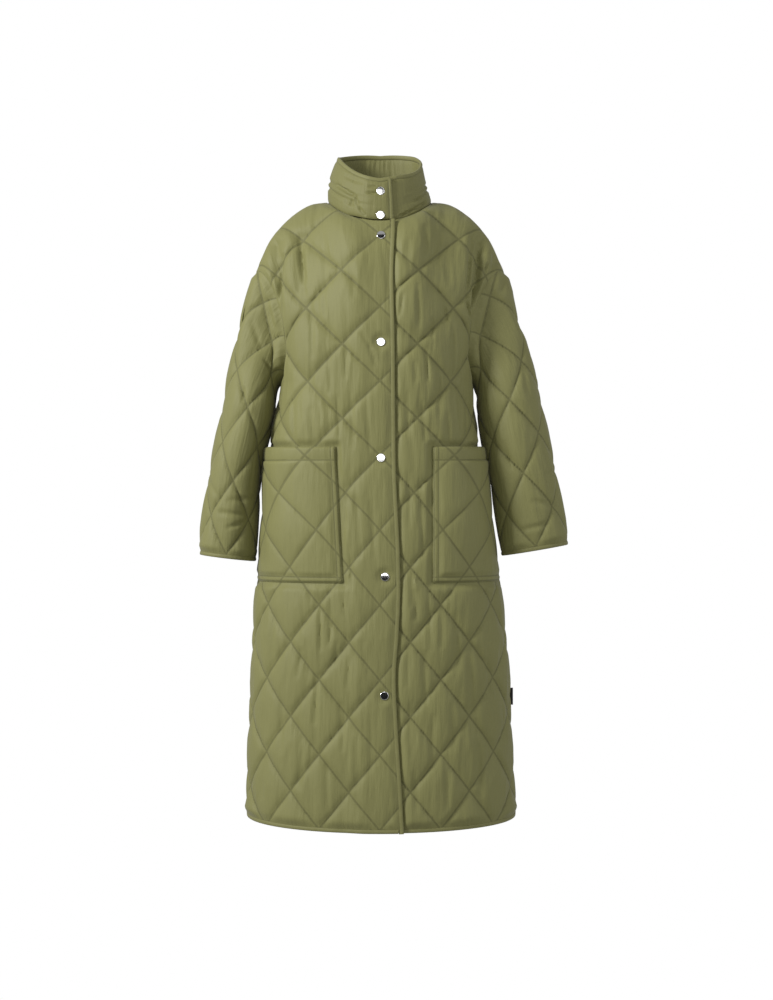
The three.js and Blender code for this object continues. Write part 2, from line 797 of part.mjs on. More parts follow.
function joinLines(...lines) {
  const joined = [];
  for (const line of lines) {
    for (const p of line) {
      if (!joined.length || joined[joined.length - 1].distanceTo(p) > 0.01) joined.push(p);
    }
  }
  return joined;
}

// Outlines of the body panels, for one half of the coat, in cloth coordinates

function edgeDrift(v) {
  return readTable(EDGE_DRIFT, "v", "drift", Math.min(v, EDGE_DRIFT[EDGE_DRIFT.length - 1].v));
}

// The right front's edge from the neck down to the hem, at a place across the cloth
function frontEdgeLine(u, topV, footV) {
  const steps = Math.ceil((topV - footV) / LINE_STEP.edge);
  return pointsAlong(topV, footV, steps, (v) => new Vector2(u - edgeDrift(v), v));
}

function hemV(side, face, u) {
  return HEM_RISE * (Math.abs(u) / seamCut(side, face, 0)) ** 2;
}

function ventU(side, face, v) {
  const open = VENT.gap * (1 - smooth(0, VENT.top, v));
  return seamCut(side, face, v) - HALF_GAP - open;
}

// The hem and vent edge, from the centre line to the top of the vent, at a distance in from the cloth's edge
function hemLine(side, face, fromU, inset) {
  const cornerU = ventU(side, face, VENT.corner);
  const cornerV = hemV(side, face, cornerU) + VENT.corner;
  const flatEnd = cornerU - VENT.corner;
  const steps = Math.ceil((flatEnd - fromU) / LINE_STEP.hem);
  const along = pointsAlong(fromU, flatEnd, steps, (u) => new Vector2(u, hemV(side, face, u)));
  const turn = pointsAlong(0, Math.PI / 2, VENT.turns, (angle) => {
    return new Vector2(flatEnd + VENT.corner * Math.sin(angle), cornerV - VENT.corner * Math.cos(angle));
  });
  const rises = Math.ceil((VENT.top - cornerV) / LINE_STEP.hem);
  const up = pointsAlong(cornerV, VENT.top, rises, (v) => new Vector2(ventU(side, face, v), v));
  return offsetLine(joinLines(along, turn.slice(1, VENT.turns), up), inset);
}

function sideSeamLine(side, face, fromV) {
  const steps = Math.ceil((CHEST_V - fromV) / LINE_STEP.seam);
  return pointsAlong(fromV, CHEST_V, steps, (v) => new Vector2(seamCut(side, face, v) - HALF_GAP, v));
}

function armholeLine(side, face) {
  const line = armholes[side][face];
  const seamU = seamCut(side, face, CHEST_V) - HALF_GAP;
  return pointsAlong(line.length, 0, ARMHOLE_STEPS, (length) => {
    const p = line.at(length);
    return new Vector2(Math.min(p.x, seamU), p.y);
  });
}

// The shoulder seam and the neckline, with a small gap below them, from the shoulder tip to the front edge
function topLine(side, face, toU) {
  const topPoint = (u) => new Vector2(u, bodyTop(side, face, u) - HALF_GAP);
  const shoulder = pointsAlong(tipCut(side, face), NECK.cut, TOP_STEPS, topPoint);
  const neckEnd = Math.acos(toU / NECK.cut);
  const neck = pointsAlong(0, neckEnd, NECK_STEPS, (angle) => topPoint(NECK.cut * Math.cos(angle)));
  return joinLines(shoulder, neck);
}

// Outline of half a panel, from the centre at the hem, anticlockwise to the centre at the neck
function halfOutline(side, face, hemFromU, topToU) {
  const inset = BINDING.width + GAP;
  const hem = hemLine(side, face, hemFromU, inset);
  const ventTop = new Vector2(seamCut(side, face, VENT.top) - HALF_GAP, VENT.top + GAP);
  const hemInside = hem.filter((p) => p.y <= VENT.top);
  const innerTop = new Vector2(hemInside[hemInside.length - 1].x, VENT.top + GAP);
  return joinLines(
    hemInside,
    [innerTop, ventTop],
    sideSeamLine(side, face, VENT.top + LINE_STEP.seam),
    armholeLine(side, face),
    topLine(side, face, topToU),
  );
}

// How far the quilting has faded near a pocket or the front edges
function frontFlatness(side, u, v) {
  const drift = side === LEFT ? Math.max(0, edgeDrift(v)) + FADE.placket.under : 0;
  const placket = smooth(FADE.placket.from, FADE.placket.to, Math.abs(u) - drift);
  const edge = pocketEdgeU(side, v);
  const beside = smooth(edge - FADE.besidePocket.from, edge - FADE.besidePocket.to, u);
  const foot = POCKET.footZ - HEM_Z;
  const top = POCKET.topZ - HEM_Z;
  const above = smooth(foot - FADE.belowPocket.from, foot - FADE.belowPocket.to, v);
  const below = 1 - smooth(top + FADE.abovePocket.from, top + FADE.abovePocket.to, v);
  return placket * (1 - beside * above * below);
}

function pocketEdgeU(side, v) {
  const t = (HEM_Z + v - POCKET.footZ) / (POCKET.topZ - POCKET.footZ);
  return POCKET_EDGE[side].foot + (POCKET_EDGE[side].top - POCKET_EDGE[side].foot) * t;
}

const backLattice = { u: 0, v: 5.9, width: () => DIAMOND.width, height: DIAMOND.height };
const frontLattice = {
  ...backLattice,
  width: (v) => {
    const { skirt, chest, fromV, toV } = FRONT_DIAMOND;
    return skirt + (chest - skirt) * smooth(fromV, toV, v);
  },
};

function quiltedWall(outline, place, lattice, fade, folded) {
  const panel = cutPanel(outline, lattice);
  refineEdge(panel, outline, place);
  const inner = (u, v) => -folded(u, v);
  const outer = (u, v) => {
    const edge = smooth(0, SEAM_TAPER, nearestOnOutline(outline, new Vector2(u, v)).distance);
    return WALL + PUFF * quiltShape(lattice, u, v) * edge * fade(u, v) - folded(u, v);
  };
  return wallGeometry(panel, place, inner, outer);
}

const unfolded = () => 0;

// Folds die away before they reach a seam, so that the seams stay where they meet
function seamedFold(outline, fold) {
  return (u, v) => fold(u, v) * smooth(0, FOLD_END, nearestOnOutline(outline, new Vector2(u, v)).distance);
}

// The quilting is flatter beside the side seams, where the sleeves hang
function sideFade(side, face, u, v) {
  const { from, to, share, chest } = FADE.side;
  const limit = seamCut(side, face, v);
  const below = 1 - smooth(CHEST_V - chest, CHEST_V + chest, v);
  return 1 - share * smooth(limit - from, limit - to, Math.abs(u)) * below;
}

function rightFrontOutline() {
  const edgeU = -(OVERLAP - GAP);
  const outline = halfOutline(RIGHT, FRONT, edgeU - edgeDrift(BINDING.width + GAP), edgeU);
  const edge = frontEdgeLine(edgeU, outline[outline.length - 1].y, outline[0].y);
  return joinLines(outline, edge.slice(1, edge.length - 1));
}

function frontGeometry(side) {
  const place = bodySurface(side, FRONT);
  const outline = side === RIGHT ? rightFrontOutline() : halfOutline(LEFT, FRONT, -UNDERLAP, -UNDERLAP);
  const fade = (u, v) => frontFlatness(side, u, v) * sideFade(side, FRONT, u, v);
  const folded = seamedFold(outline, (u, v) => foldDepth(side, FRONT, u, v));
  return quiltedWall(outline, place, frontLattice, fade, folded);
}

function backGeometry() {
  const places = { [RIGHT]: bodySurface(RIGHT, BACK), [LEFT]: bodySurface(LEFT, BACK) };
  const sideOf = (u) => (u < 0 ? RIGHT : LEFT);
  const place = {
    map: (u, v) => places[sideOf(u)].map(Math.abs(u), v),
    normal: (u, v) => places[sideOf(u)].normal(Math.abs(u), v),
  };
  const leftHalf = halfOutline(LEFT, BACK, 0, 0);
  const rightHalf = halfOutline(RIGHT, BACK, 0, 0)
    .map((p) => new Vector2(-p.x, p.y))
    .reverse();
  const outline = joinLines(leftHalf, rightHalf);
  if (outline[0].distanceTo(outline[outline.length - 1]) < 0.01) outline.pop();
  const fade = (u, v) => sideFade(sideOf(u), BACK, u, v);
  const folded = seamedFold(outline, (u, v) => foldDepth(sideOf(u), BACK, Math.abs(u), v));
  return quiltedWall(outline, place, backLattice, fade, folded);
}

const sleeveLattice = { u: 0, v: 8, width: () => SLEEVE_FLAT / 4, height: DIAMOND.height };

function sleeveGeometry(side) {
  const place = sleeveSurface(side);
  const first = HALF_GAP;
  const last = SLEEVE_FLAT - HALF_GAP;
  const foot = BINDING.width + GAP;
  const top = pointsAlong(last, first, SLEEVE_TOP_STEPS, (u) => new Vector2(u, sleeveTop(side, u)));
  const outline = joinLines(
    lineBetween(new Vector2(first, foot), new Vector2(last, foot), LINE_STEP.sleeve),
    lineBetween(new Vector2(last, foot), top[0], LINE_STEP.sleeve),
    top,
    lineBetween(top[SLEEVE_TOP_STEPS], new Vector2(first, foot), LINE_STEP.sleeve),
  );
  outline.pop();
  const { from, to, share } = FADE.sleeveInside;
  const fade = (u) => 1 - share * (1 - smooth(from, to, Math.min(u, SLEEVE_FLAT - u)));
  return quiltedWall(outline, place, sleeveLattice, fade, unfolded);
}

function cuffBindingGeometry(side) {
  const edge = lineBetween(new Vector2(HALF_GAP, 0), new Vector2(SLEEVE_FLAT - HALF_GAP, 0), LINE_STEP.cuff);
  return bindingGeometry(edge, sleeveSurface(side), BINDING.width, BINDING.low, BINDING.high);
}

function hemBindingGeometry(side, face, fromU) {
  const line = hemLine(side, face, fromU, 0);
  return bindingGeometry(line, bodySurface(side, face), BINDING.width, BINDING.low, BINDING.high);
}

function backHemBindingGeometry() {
  const place = {
    map: (u, v) => bodyPoint(u < 0 ? RIGHT : LEFT, BACK, Math.abs(u), v),
    normal: (u, v) => bodySurface(u < 0 ? RIGHT : LEFT, BACK).normal(Math.abs(u), v),
  };
  const left = hemLine(LEFT, BACK, 0, 0);
  const right = hemLine(RIGHT, BACK, 0, 0)
    .map((p) => new Vector2(-p.x, p.y))
    .reverse();
  return bindingGeometry(joinLines(right, left), place, BINDING.width, BINDING.low, BINDING.high);
}

// The right front's edge, from the hem to the neck seam
function frontBindingGeometry() {
  const place = bodySurface(RIGHT, FRONT);
  const edge = -(OVERLAP + BINDING.width);
  const top = bodyTop(RIGHT, FRONT, edge) - HALF_GAP;
  return bindingGeometry(frontEdgeLine(edge, top, 0), place, BINDING.width, BINDING.low, BINDING.high);
}

// The collar's foot rises a little where its right end passes over the left front
function collarFoot(u) {
  const fromEnd = collarLoop.length - u;
  return GAP + COLLAR_RISE.over * (1 - smooth(COLLAR_RISE.to, COLLAR_RISE.from, fromEnd));
}

function collarOutline() {
  const first = -COLLAR.underEnd;
  const last = collarLoop.length + COLLAR.overEnd - BINDING.width - GAP;
  const top = COLLAR.height - BINDING.width - GAP;
  const steps = Math.ceil((last - first) / LINE_STEP.collar);
  return joinLines(
    pointsAlong(first, last, steps, (u) => new Vector2(u, collarFoot(u))),
    lineBetween(new Vector2(last, collarFoot(last)), new Vector2(last, top), LINE_STEP.collar),
    lineBetween(new Vector2(last, top), new Vector2(first, top), LINE_STEP.collar),
    lineBetween(new Vector2(first, top), new Vector2(first, LINE_STEP.collar), LINE_STEP.collar),
  );
}

const collarLattice = { u: 0, v: 6, width: () => DIAMOND.width, height: DIAMOND.height };

function collarGeometry() {
  const outline = collarOutline();
  const fade = (u) => {
    const fromEnd = Math.min(Math.abs(u), Math.abs(collarLoop.length - u));
    return FADE.collar.share * smooth(FADE.collar.from, FADE.collar.to, fromEnd);
  };
  return quiltedWall(outline, collarSurface, collarLattice, fade, unfolded);
}

// The binding along the collar's top and down its right end
function collarBindingGeometry() {
  const last = collarLoop.length + COLLAR.overEnd;
  const turns = 4;
  const corner = new Vector2(last - COLLAR.corner, COLLAR.height - COLLAR.corner);
  const turn = pointsAlong(0, Math.PI / 2, turns, (angle) => {
    const round = new Vector2(Math.cos(angle), Math.sin(angle));
    return corner.clone().addScaledVector(round, COLLAR.corner);
  });
  const line = joinLines(
    lineBetween(new Vector2(last, collarFoot(last)), turn[0], LINE_STEP.collar),
    turn,
    lineBetween(turn[turns], new Vector2(-COLLAR.underEnd, COLLAR.height), LINE_STEP.collar),
  );
  return bindingGeometry(line, collarSurface, BINDING.width, BINDING.low, BINDING.high);
}

// Pockets lie on the fronts, moved out from the fronts' own points

function pocketGeometry(side) {
  const place = bodySurface(side, FRONT);
  const footV = POCKET.footZ - HEM_Z;
  const topV = POCKET.topZ - HEM_Z;
  const seamU = (v) => seamCut(side, FRONT, v) - POCKET.seamGap;
  const footInside = new Vector2(pocketEdgeU(side, footV), footV);
  const topInside = new Vector2(pocketEdgeU(side, topV), topV);
  const rises = Math.ceil((topV - footV) / LINE_STEP.pocket);
  const outline = joinLines(
    lineBetween(footInside, new Vector2(seamU(footV), footV), LINE_STEP.pocket),
    pointsAlong(footV, topV, rises, (v) => new Vector2(seamU(v), v)),
    lineBetween(new Vector2(seamU(topV), topV), topInside, LINE_STEP.pocket),
    lineBetween(topInside, footInside, LINE_STEP.pocket),
  );
  outline.pop();
  const panel = cutPanel(outline, frontLattice);
  refineEdge(panel, outline, place);
  const inner = (u, v) => {
    const edge = pocketEdgeU(side, v);
    const across = (u - edge) / (seamU(v) - edge);
    const up = (v - footV) / (topV - footV);
    const belly = POCKET.belly * Math.sin(Math.PI * across) * smooth(0, POCKET.bellyFull, up);
    const gape = POCKET.gape * smooth(POCKET.gapeFrom, 1, across) * smooth(POCKET.gapeFrom, 1, up);
    return POCKET.base + belly + gape;
  };
  const outer = (u, v) => {
    const edge = smooth(2, 18, nearestOnOutline(outline, new Vector2(u, v)).distance);
    const band = 1 - smooth(topV - POCKET.band - 6, topV - POCKET.band + 2, v);
    return inner(u, v) + POCKET.wall + POCKET.puff * quiltShape(frontLattice, u, v) * edge * band;
  };
  return wallGeometry(panel, place, inner, outer);
}

// Snap caps

function snapGeometry() {
  const dome = pointsAlong(0, Math.PI / 2, SNAP.rings, (angle) => {
    const height = SNAP.rim + (SNAP.dome - SNAP.rim) * Math.sin(angle);
    return new Vector2(SNAP.radius * SNAP.shoulder * Math.cos(angle), height);
  });
  dome[SNAP.rings].x = 0;
  const foot = [new Vector2(0, 0), new Vector2(SNAP.radius, 0), new Vector2(SNAP.radius, SNAP.rim)];
  return new THREE.LatheGeometry([...foot, ...dome.slice(1)], SNAP.segments);
}

function placeSnap(mesh, place, u, v) {
  const normal = place.normal(u, v);
  mesh.position.copy(place.map(u, v)).addScaledVector(normal, WALL + SNAP.stand);
  mesh.quaternion.setFromUnitVectors(new Vector3(0, 1, 0), normal);
}

// The coat

const coat = new THREE.Group();

function addPiece(name, geometry, material) {
  const mesh = new THREE.Mesh(geometry, material);
  mesh.name = name;
  coat.add(mesh);
  return mesh;
}

addPiece("front_right", frontGeometry(RIGHT), OLIVE);
addPiece("front_left", frontGeometry(LEFT), OLIVE);
addPiece("back", backGeometry(), OLIVE);
addPiece("sleeve_right", sleeveGeometry(RIGHT), OLIVE);
addPiece("sleeve_left", sleeveGeometry(LEFT), OLIVE);
addPiece("collar", collarGeometry(), OLIVE);
addPiece("pocket_right", pocketGeometry(RIGHT), OLIVE);
addPiece("pocket_left", pocketGeometry(LEFT), OLIVE);
addPiece("binding_front_edge", frontBindingGeometry(), OLIVE);
addPiece("binding_collar", collarBindingGeometry(), OLIVE);
const hemStart = -(OVERLAP - GAP) - edgeDrift(BINDING.width);
addPiece("binding_hem_right", hemBindingGeometry(RIGHT, FRONT, hemStart), OLIVE);
addPiece("binding_hem_left", hemBindingGeometry(LEFT, FRONT, -UNDERLAP), OLIVE);
addPiece("binding_hem_back", backHemBindingGeometry(), OLIVE);
addPiece("binding_cuff_right", cuffBindingGeometry(RIGHT), OLIVE);
addPiece("binding_cuff_left", cuffBindingGeometry(LEFT), OLIVE);

COLLAR_SNAPS_H.forEach((h, i) => {
  placeSnap(addPiece("snap_" + (i + 1), snapGeometry(), STEEL), collarSurface, collarLoop.length + 1, h);
});
const rightFront = bodySurface(RIGHT, FRONT);
FRONT_SNAPS_Z.forEach((z, i) => {
  placeSnap(addPiece("snap_" + (i + 3), snapGeometry(), STEEL), rightFront, -FRONT_SNAPS_U[i], z - HEM_Z);
});

const tab = addPiece("side_tab", new THREE.BoxGeometry(TAB.reach, TAB.thick, TAB.height), BLACK);
const tabHalfWidth = readTable(BODY, "z", "left", TAB.z - TAB.height / 2);
tab.position.set(tabHalfWidth + WALL + GAP + TAB.reach / 2, 0, TAB.z);

export default coat;
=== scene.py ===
"""The looks of a midi-length quilted coat, filled out as if worn, with nobody in it.

Lengths here are millimetres, and become metres where a mesh is made. +Z is up, -Y is the coat's front
and +X the wearer's left. Every piece of cloth is cut flat, in cloth coordinates: u runs round the coat
and v runs up the cloth. A map carries the flat cut onto the filled-out coat, and a height over that map
gives the padding, the stitched troughs, the creases and the folds.
"""

import math
from functools import reduce

import bpy
import numpy as np
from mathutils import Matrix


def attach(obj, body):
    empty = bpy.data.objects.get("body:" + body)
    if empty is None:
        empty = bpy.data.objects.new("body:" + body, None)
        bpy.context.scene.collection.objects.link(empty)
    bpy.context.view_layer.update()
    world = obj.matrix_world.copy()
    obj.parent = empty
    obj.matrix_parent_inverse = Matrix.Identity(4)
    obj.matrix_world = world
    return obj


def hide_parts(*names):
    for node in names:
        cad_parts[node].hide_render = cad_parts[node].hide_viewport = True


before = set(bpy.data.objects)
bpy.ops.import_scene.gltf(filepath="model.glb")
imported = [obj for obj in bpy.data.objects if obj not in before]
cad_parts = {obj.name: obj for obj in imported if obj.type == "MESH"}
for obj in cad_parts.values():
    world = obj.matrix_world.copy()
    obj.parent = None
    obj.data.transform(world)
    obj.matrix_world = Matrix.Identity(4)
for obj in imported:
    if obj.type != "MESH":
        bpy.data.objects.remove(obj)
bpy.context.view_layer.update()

MM = 0.001
RIGHT, LEFT = -1, 1
FRONT, BACK = -1, 1

# Cloth
WALL = 3.0
PUFF = 7.6
GAP = 0.3
THINNEST = 0.9
DIAMOND_WIDTH = 114.0
DIAMOND_HEIGHT = 131.5
FRONT_DIAMOND = {"skirt": 107.0, "chest": 131.0, "from_v": 484.0, "to_v": 694.0}
BINDING_WIDTH = 9.0
CELL = 4.0
FINE_CELL = 3.0

# Body, measured to the inner face
HEM_Z = -1124.0
CHEST_Z = -330.0
CHEST_V = CHEST_Z - HEM_Z
HEM_RISE = 15.0
BODY_COLUMNS = ("z", "right", "left", "front", "back", "power")
BODY_ROWS = (
    (-1124, 240, 245, 152, 150, 2.2),
    (-1012, 234, 235, 150, 148, 2.25),
    (-866, 228, 228, 148, 146, 2.3),
    (-793, 224, 223, 147, 144, 2.35),
    (-684, 216, 211, 144, 142, 2.4),
    (-593, 205, 195, 141, 139, 2.45),
    (-540, 198, 187, 139, 138, 2.5),
    (-430, 191, 171, 135, 135, 2.6),
    (-330, 170, 158, 133, 133, 2.7),
)

# Neck and shoulders
NECK_HALF_WIDTH = 95.0
NECK_CUT = 91.0
NECK_DEPTH = {FRONT: 88.0, BACK: 62.0}
NECK_Z = {FRONT: -43.0, BACK: 17.0}
SHOULDER_COLUMNS = ("x", "z")
SHOULDER_ROWS = ((95, 0), (128, -6), (165, -31), (195, -66), (213.5, -104), (224.5, -130))
SHOULDER_CUT_END = 8.0
HEADING = {FRONT: (0, -0.45, 0.9), BACK: (0, -0.4, 0.92), "shoulder": (0, -1, 0.16)}
CHEST_PULL = 0.45
HEADING_REACH = (62.0, 80.0)

# Armhole, as steps in cloth coordinates from the shoulder tip and from the underarm
ARMHOLE = {"tip_in": 36, "tip_down": 34, "low_in": 100, "low_up": 20, "gap": 0.9}

# Front edges. The drift is how far the right front's edge wanders over the left front, up the cloth.
OVERLAP = 17.0
UNDERLAP = 30.0
LIFT = 6.5
LIFT_FROM = 62.0
LIFT_TO = 24.0
EDGE_DRIFT = (
    (0, 16.5),
    (92, 11.4),
    (185, 5.5),
    (275, 2),
    (340, 6.5),
    (418, 10),
    (505, 8.5),
    (627, 2.6),
    (743, 1.2),
    (878, 0),
    (985, -2.5),
    (1066, 0),
)

# Vents at the foot of the side seams
VENT_TOP = 205.0
VENT_GAP = 2.5
VENT_CORNER = 20.0

# Sleeves, measured to the inner face
SLEEVE_FLAT = 427.0
SLEEVE_JOIN_V = 265.0
SLEEVE_BEND = {"drop": 0.4, "ring_pull": 0.38, "hole_pull": 0.34, "under_pull": 0.1, "under_step": 1.9}
SLEEVE_TILT = {RIGHT: 0.12, LEFT: 0.17}
SLEEVE_COLUMNS = ("z", "centre", "half_x", "half_y", "y")
SLEEVE_ROWS = {
    RIGHT: (
        (-644, 276, 47.5, 49, -14),
        (-544, 267.5, 42.5, 56, -8),
        (-461, 256, 40, 63, -4),
        (-379, 238, 42, 70, 0),
        (-304, 229.5, 41.5, 74, 0),
    ),
    LEFT: (
        (-630, 281, 57, 40, -14),
        (-530, 265, 54, 48, -8),
        (-428, 244.5, 54.5, 56, -4),
        (-365, 233, 52, 61, 0),
        (-290, 224, 47, 68, 0),
    ),
}

# How much further than its seam the sleeve's top runs, to close the seam
SLEEVE_REACH = 0.8

# Collar
COLLAR_HEIGHT = 78.0
COLLAR_UNDER_END = 34.0
COLLAR_OVER_END = 26.0
COLLAR_INSET = 3.9
COLLAR_CORNER = 7.0
COLLAR_RISE = {"over": 3.4, "from": 75, "to": 45}
COLLAR_TOP = {"x": 0.8, "y": 0.91, "bow": 5.0, "side_rise": 0.08}
COLLAR_DIP = {"share": 0.2, "from_x": 30, "to_x": 95, "front_y": -30, "back_y": 42}

# Pockets
POCKET_TOP_V = -445 - HEM_Z
POCKET_FOOT_V = -685 - HEM_Z
POCKET_EDGE = {RIGHT: (77, 64), LEFT: (93, 93)}
POCKET_BAND = 24.0
POCKET_BASE = 3.4
POCKET_WALL = 3.0
POCKET_PUFF = 4.0
POCKET_BELLY = 8.0
POCKET_GAPE = 9.0
POCKET_STITCHES = {"edge": (1.8, 9.2), "foot": (1.8, 9.6)}
# The raised welt between an edge's two stitch lines: its middle at the edge and at the foot, width and height
POCKET_WELT = {"edge": 5.5, "foot": 5.7, "width": 2.6, "height": 0.9}
POCKET_TOP_ROLL = 1.1
POCKET_TOP_RIPPLE = 0.35
POCKET_RIM = 0.8
POCKET_FROM_SEAM = 1.2
POCKET_FLAT = (9, 18)

# Snap caps
SNAP_RADIUS = 7.5
SNAP_STAND = 0.65
FRONT_SNAPS = ((-67, 2), (-261, 2), (-465, 2), (-674, 9), (-882, 8))
COLLAR_SNAPS_H = (54, 11)

# Tab in the left side seam
TAB = {"height": 31.0, "thick": 1.6, "reach": 8.5, "z": -896.0}

# The photograph's view: the camera's place, and the size of a pixel on the plane of the coat's middle
CAMERA = (11.8, -4200.0, -539.0)
PIXEL = 1.82
MIDDLE_PX = (380.0, 204.0)
PHOTO_SIZE = (773, 1000)


# Small helpers


def smooth(low, high, value):
    """0 below low, 1 above high, and an even bend between."""
    t = np.clip((value - low) / (high - low), 0, 1)
    return t * t * (3 - 2 * t)


def as_table(columns, rows):
    """A short table as one array for each named column."""
    values = np.array(rows, float)
    return {name: values[:, i] for i, name in enumerate(columns)}


def read_table(table, key, column, value):
    """A smooth curve through a table's rows, read at values of its key column."""
    keys, data = table[key], table[column]
    last = len(keys) - 1
    i = np.clip(np.searchsorted(keys, value) - 1, 0, last - 1)
    step = np.diff(keys)
    slope = np.diff(data) / step
    bend = np.empty(len(keys))
    bend[0], bend[last] = slope[0], slope[-1]
    bend[1:last] = (data[2:] - data[:-2]) / (keys[2:] - keys[:-2])
    t = np.clip((value - keys[i]) / step[i], -0.2, 1.2)
    t2, t3 = t * t, t * t * t
    start = (2 * t3 - 3 * t2 + 1) * data[i] + (t3 - 2 * t2 + t) * step[i] * bend[i]
    return start + (3 * t2 - 2 * t3) * data[i + 1] + (t3 - t2) * step[i] * bend[i + 1]


def along(lines, length):
    """The point at a length along each of several lines: lines is (n, points, dimensions)."""
    steps = np.linalg.norm(np.diff(lines, axis=1), axis=2)
    sums = np.concatenate([np.zeros((len(lines), 1)), np.cumsum(steps, axis=1)], axis=1)
    i = np.clip((sums <= length[:, None]).sum(1) - 1, 0, lines.shape[1] - 2)
    row = np.arange(len(lines))
    t = (length - sums[row, i]) / np.maximum(steps[row, i], 1e-9)
    return lines[row, i] + t[:, None] * (lines[row, i + 1] - lines[row, i])


def lengths_of(lines):
    return np.linalg.norm(np.diff(lines, axis=1), axis=2).sum(1)


def length_of(line):
    return float(lengths_of(np.asarray(line, float)[None])[0])


def bezier(p0, p1, p2, p3, steps):
    """Bezier curves as lines: each point is (n, dimensions), the result (n, steps + 1, dimensions)."""
    t = np.linspace(0, 1, steps + 1)[None, :, None]
    p0, p1, p2, p3 = (np.asarray(p, float)[:, None, :] for p in (p0, p1, p2, p3))
    return (1 - t) ** 3 * p0 + 3 * t * (1 - t) ** 2 * p1 + 3 * t**2 * (1 - t) * p2 + t**3 * p3


def soft_bump(distance, width):
    """1 at no distance, and fading to 0 over a few widths."""
    return np.exp(-((distance / width) ** 2))


def quarter_round(t):
    """The height of a quarter circle: steep at 0, level from 1 on."""
    return np.sqrt(np.clip(1 - (1 - np.clip(t, 0, 1)) ** 2, 0, 1))


def unit(vectors):
    return vectors / np.maximum(np.linalg.norm(vectors, axis=-1, keepdims=True), 1e-12)


def resample(line, count):
    """A line's points moved so that they lie evenly along it."""
    line = np.asarray(line, float)
    lengths = np.concatenate([[0], np.cumsum(np.linalg.norm(np.diff(line, axis=0), axis=1))])
    wanted = np.linspace(0, lengths[-1], count + 1)
    return np.stack([np.interp(wanted, lengths, line[:, k]) for k in range(line.shape[1])], axis=1)


def noise(x, y, seed):
    """Smooth random heights between -1 and 1, with one bump for each whole step of x and y."""
    heights = np.random.default_rng(seed).uniform(-1, 1, (64, 64))
    i, j = np.floor(x).astype(int), np.floor(y).astype(int)
    fx, fy = x - i, y - j
    fx, fy = fx * fx * (3 - 2 * fx), fy * fy * (3 - 2 * fy)
    i0, i1, j0, j1 = i % 64, (i + 1) % 64, j % 64, (j + 1) % 64
    low = heights[i0, j0] * (1 - fx) + heights[i1, j0] * fx
    high = heights[i0, j1] * (1 - fx) + heights[i1, j1] * fx
    return low * (1 - fy) + high * fy


# Body map

BODY = as_table(BODY_COLUMNS, BODY_ROWS)
SHOULDER = as_table(SHOULDER_COLUMNS, SHOULDER_ROWS)
RING_STEPS = 128
COLUMN_STEPS = 128


def ring_lines(side, face, z):
    """A quarter of the body's section at each height, from the centre line to the side seam."""
    width = read_table(BODY, "z", "right" if side == RIGHT else "left", z)[:, None]
    depth = read_table(BODY, "z", "front" if face == FRONT else "back", z)[:, None]
    power = 2 / read_table(BODY, "z", "power", z)[:, None]
    angle = np.linspace(0, math.pi / 2, RING_STEPS + 1)[None, :]
    across = width * np.sin(angle) ** power
    forward = depth * np.clip(np.cos(angle), 0, 1) ** power
    forward[:, -1] = 0
    return np.stack([across, forward], axis=2)


SEAM_V = np.linspace(0, CHEST_V, 200)
SEAM_CUTS = {
    (side, face): lengths_of(ring_lines(side, face, HEM_Z + SEAM_V))
    for side in (RIGHT, LEFT)
    for face in (FRONT, BACK)
}


def seam_cut(side, face, v):
    """How wide the panel is cut at a height, from the centre line to the side seam."""
    return np.interp(np.clip(v, 0, CHEST_V), SEAM_V, SEAM_CUTS[side, face])


def tip_cut(side, face):
    return float(seam_cut(side, face, CHEST_V)) - SHOULDER_CUT_END


SHOULDER_X = np.linspace(SHOULDER["x"][0], SHOULDER["x"][-1], 97)
SHOULDER_LINE = np.stack([SHOULDER_X, read_table(SHOULDER, "x", "z", SHOULDER_X)], axis=1)
SHOULDER_LENGTH = length_of(SHOULDER_LINE)


def top_edge(side, face, u):
    """The body's top edge: the neckline, then the shoulder seam. x and y are told outwards."""
    neck = np.clip(u / NECK_CUT, 0, 1)
    away = np.sqrt(np.clip(1 - neck * neck, 0, 1))
    neckline = np.stack(
        [NECK_HALF_WIDTH * u / NECK_CUT, NECK_DEPTH[face] * away, NECK_Z[face] * away**1.5], axis=1
    )
    share = (u - NECK_CUT) / (tip_cut(side, face) - NECK_CUT)
    lines = np.repeat(SHOULDER_LINE[None], len(u), axis=0)
    flat = along(lines, SHOULDER_LENGTH * share)
    seam = np.stack([flat[:, 0], np.zeros(len(u)), flat[:, 1]], axis=1)
    return np.where((u <= NECK_CUT)[:, None], neckline, seam)


def body_columns(side, face, u):
    """Lines up the cloth, from the chest to the top edge."""
    foot = along(ring_lines(side, face, np.full(len(u), CHEST_Z)), u)
    start = np.column_stack([foot, np.full(len(u), CHEST_Z)])
    end = top_edge(side, face, u)
    rise = np.zeros_like(start)
    rise[:, 2] = (end[:, 2] - CHEST_Z) * CHEST_PULL
    turn = smooth(0, NECK_CUT, u)[:, None]
    heading = unit(np.array(HEADING[face], float) * (1 - turn) + np.array(HEADING["shoulder"], float) * turn)
    outwards = smooth(NECK_CUT, tip_cut(side, face), u)[:, None]
    reach = HEADING_REACH[0] + (HEADING_REACH[1] - HEADING_REACH[0]) * outwards
    return bezier(start, start + rise, end - heading * reach, end, COLUMN_STEPS)


def body_top(side, face, u):
    return CHEST_V + lengths_of(body_columns(side, face, np.abs(np.atleast_1d(np.asarray(u, float)))))


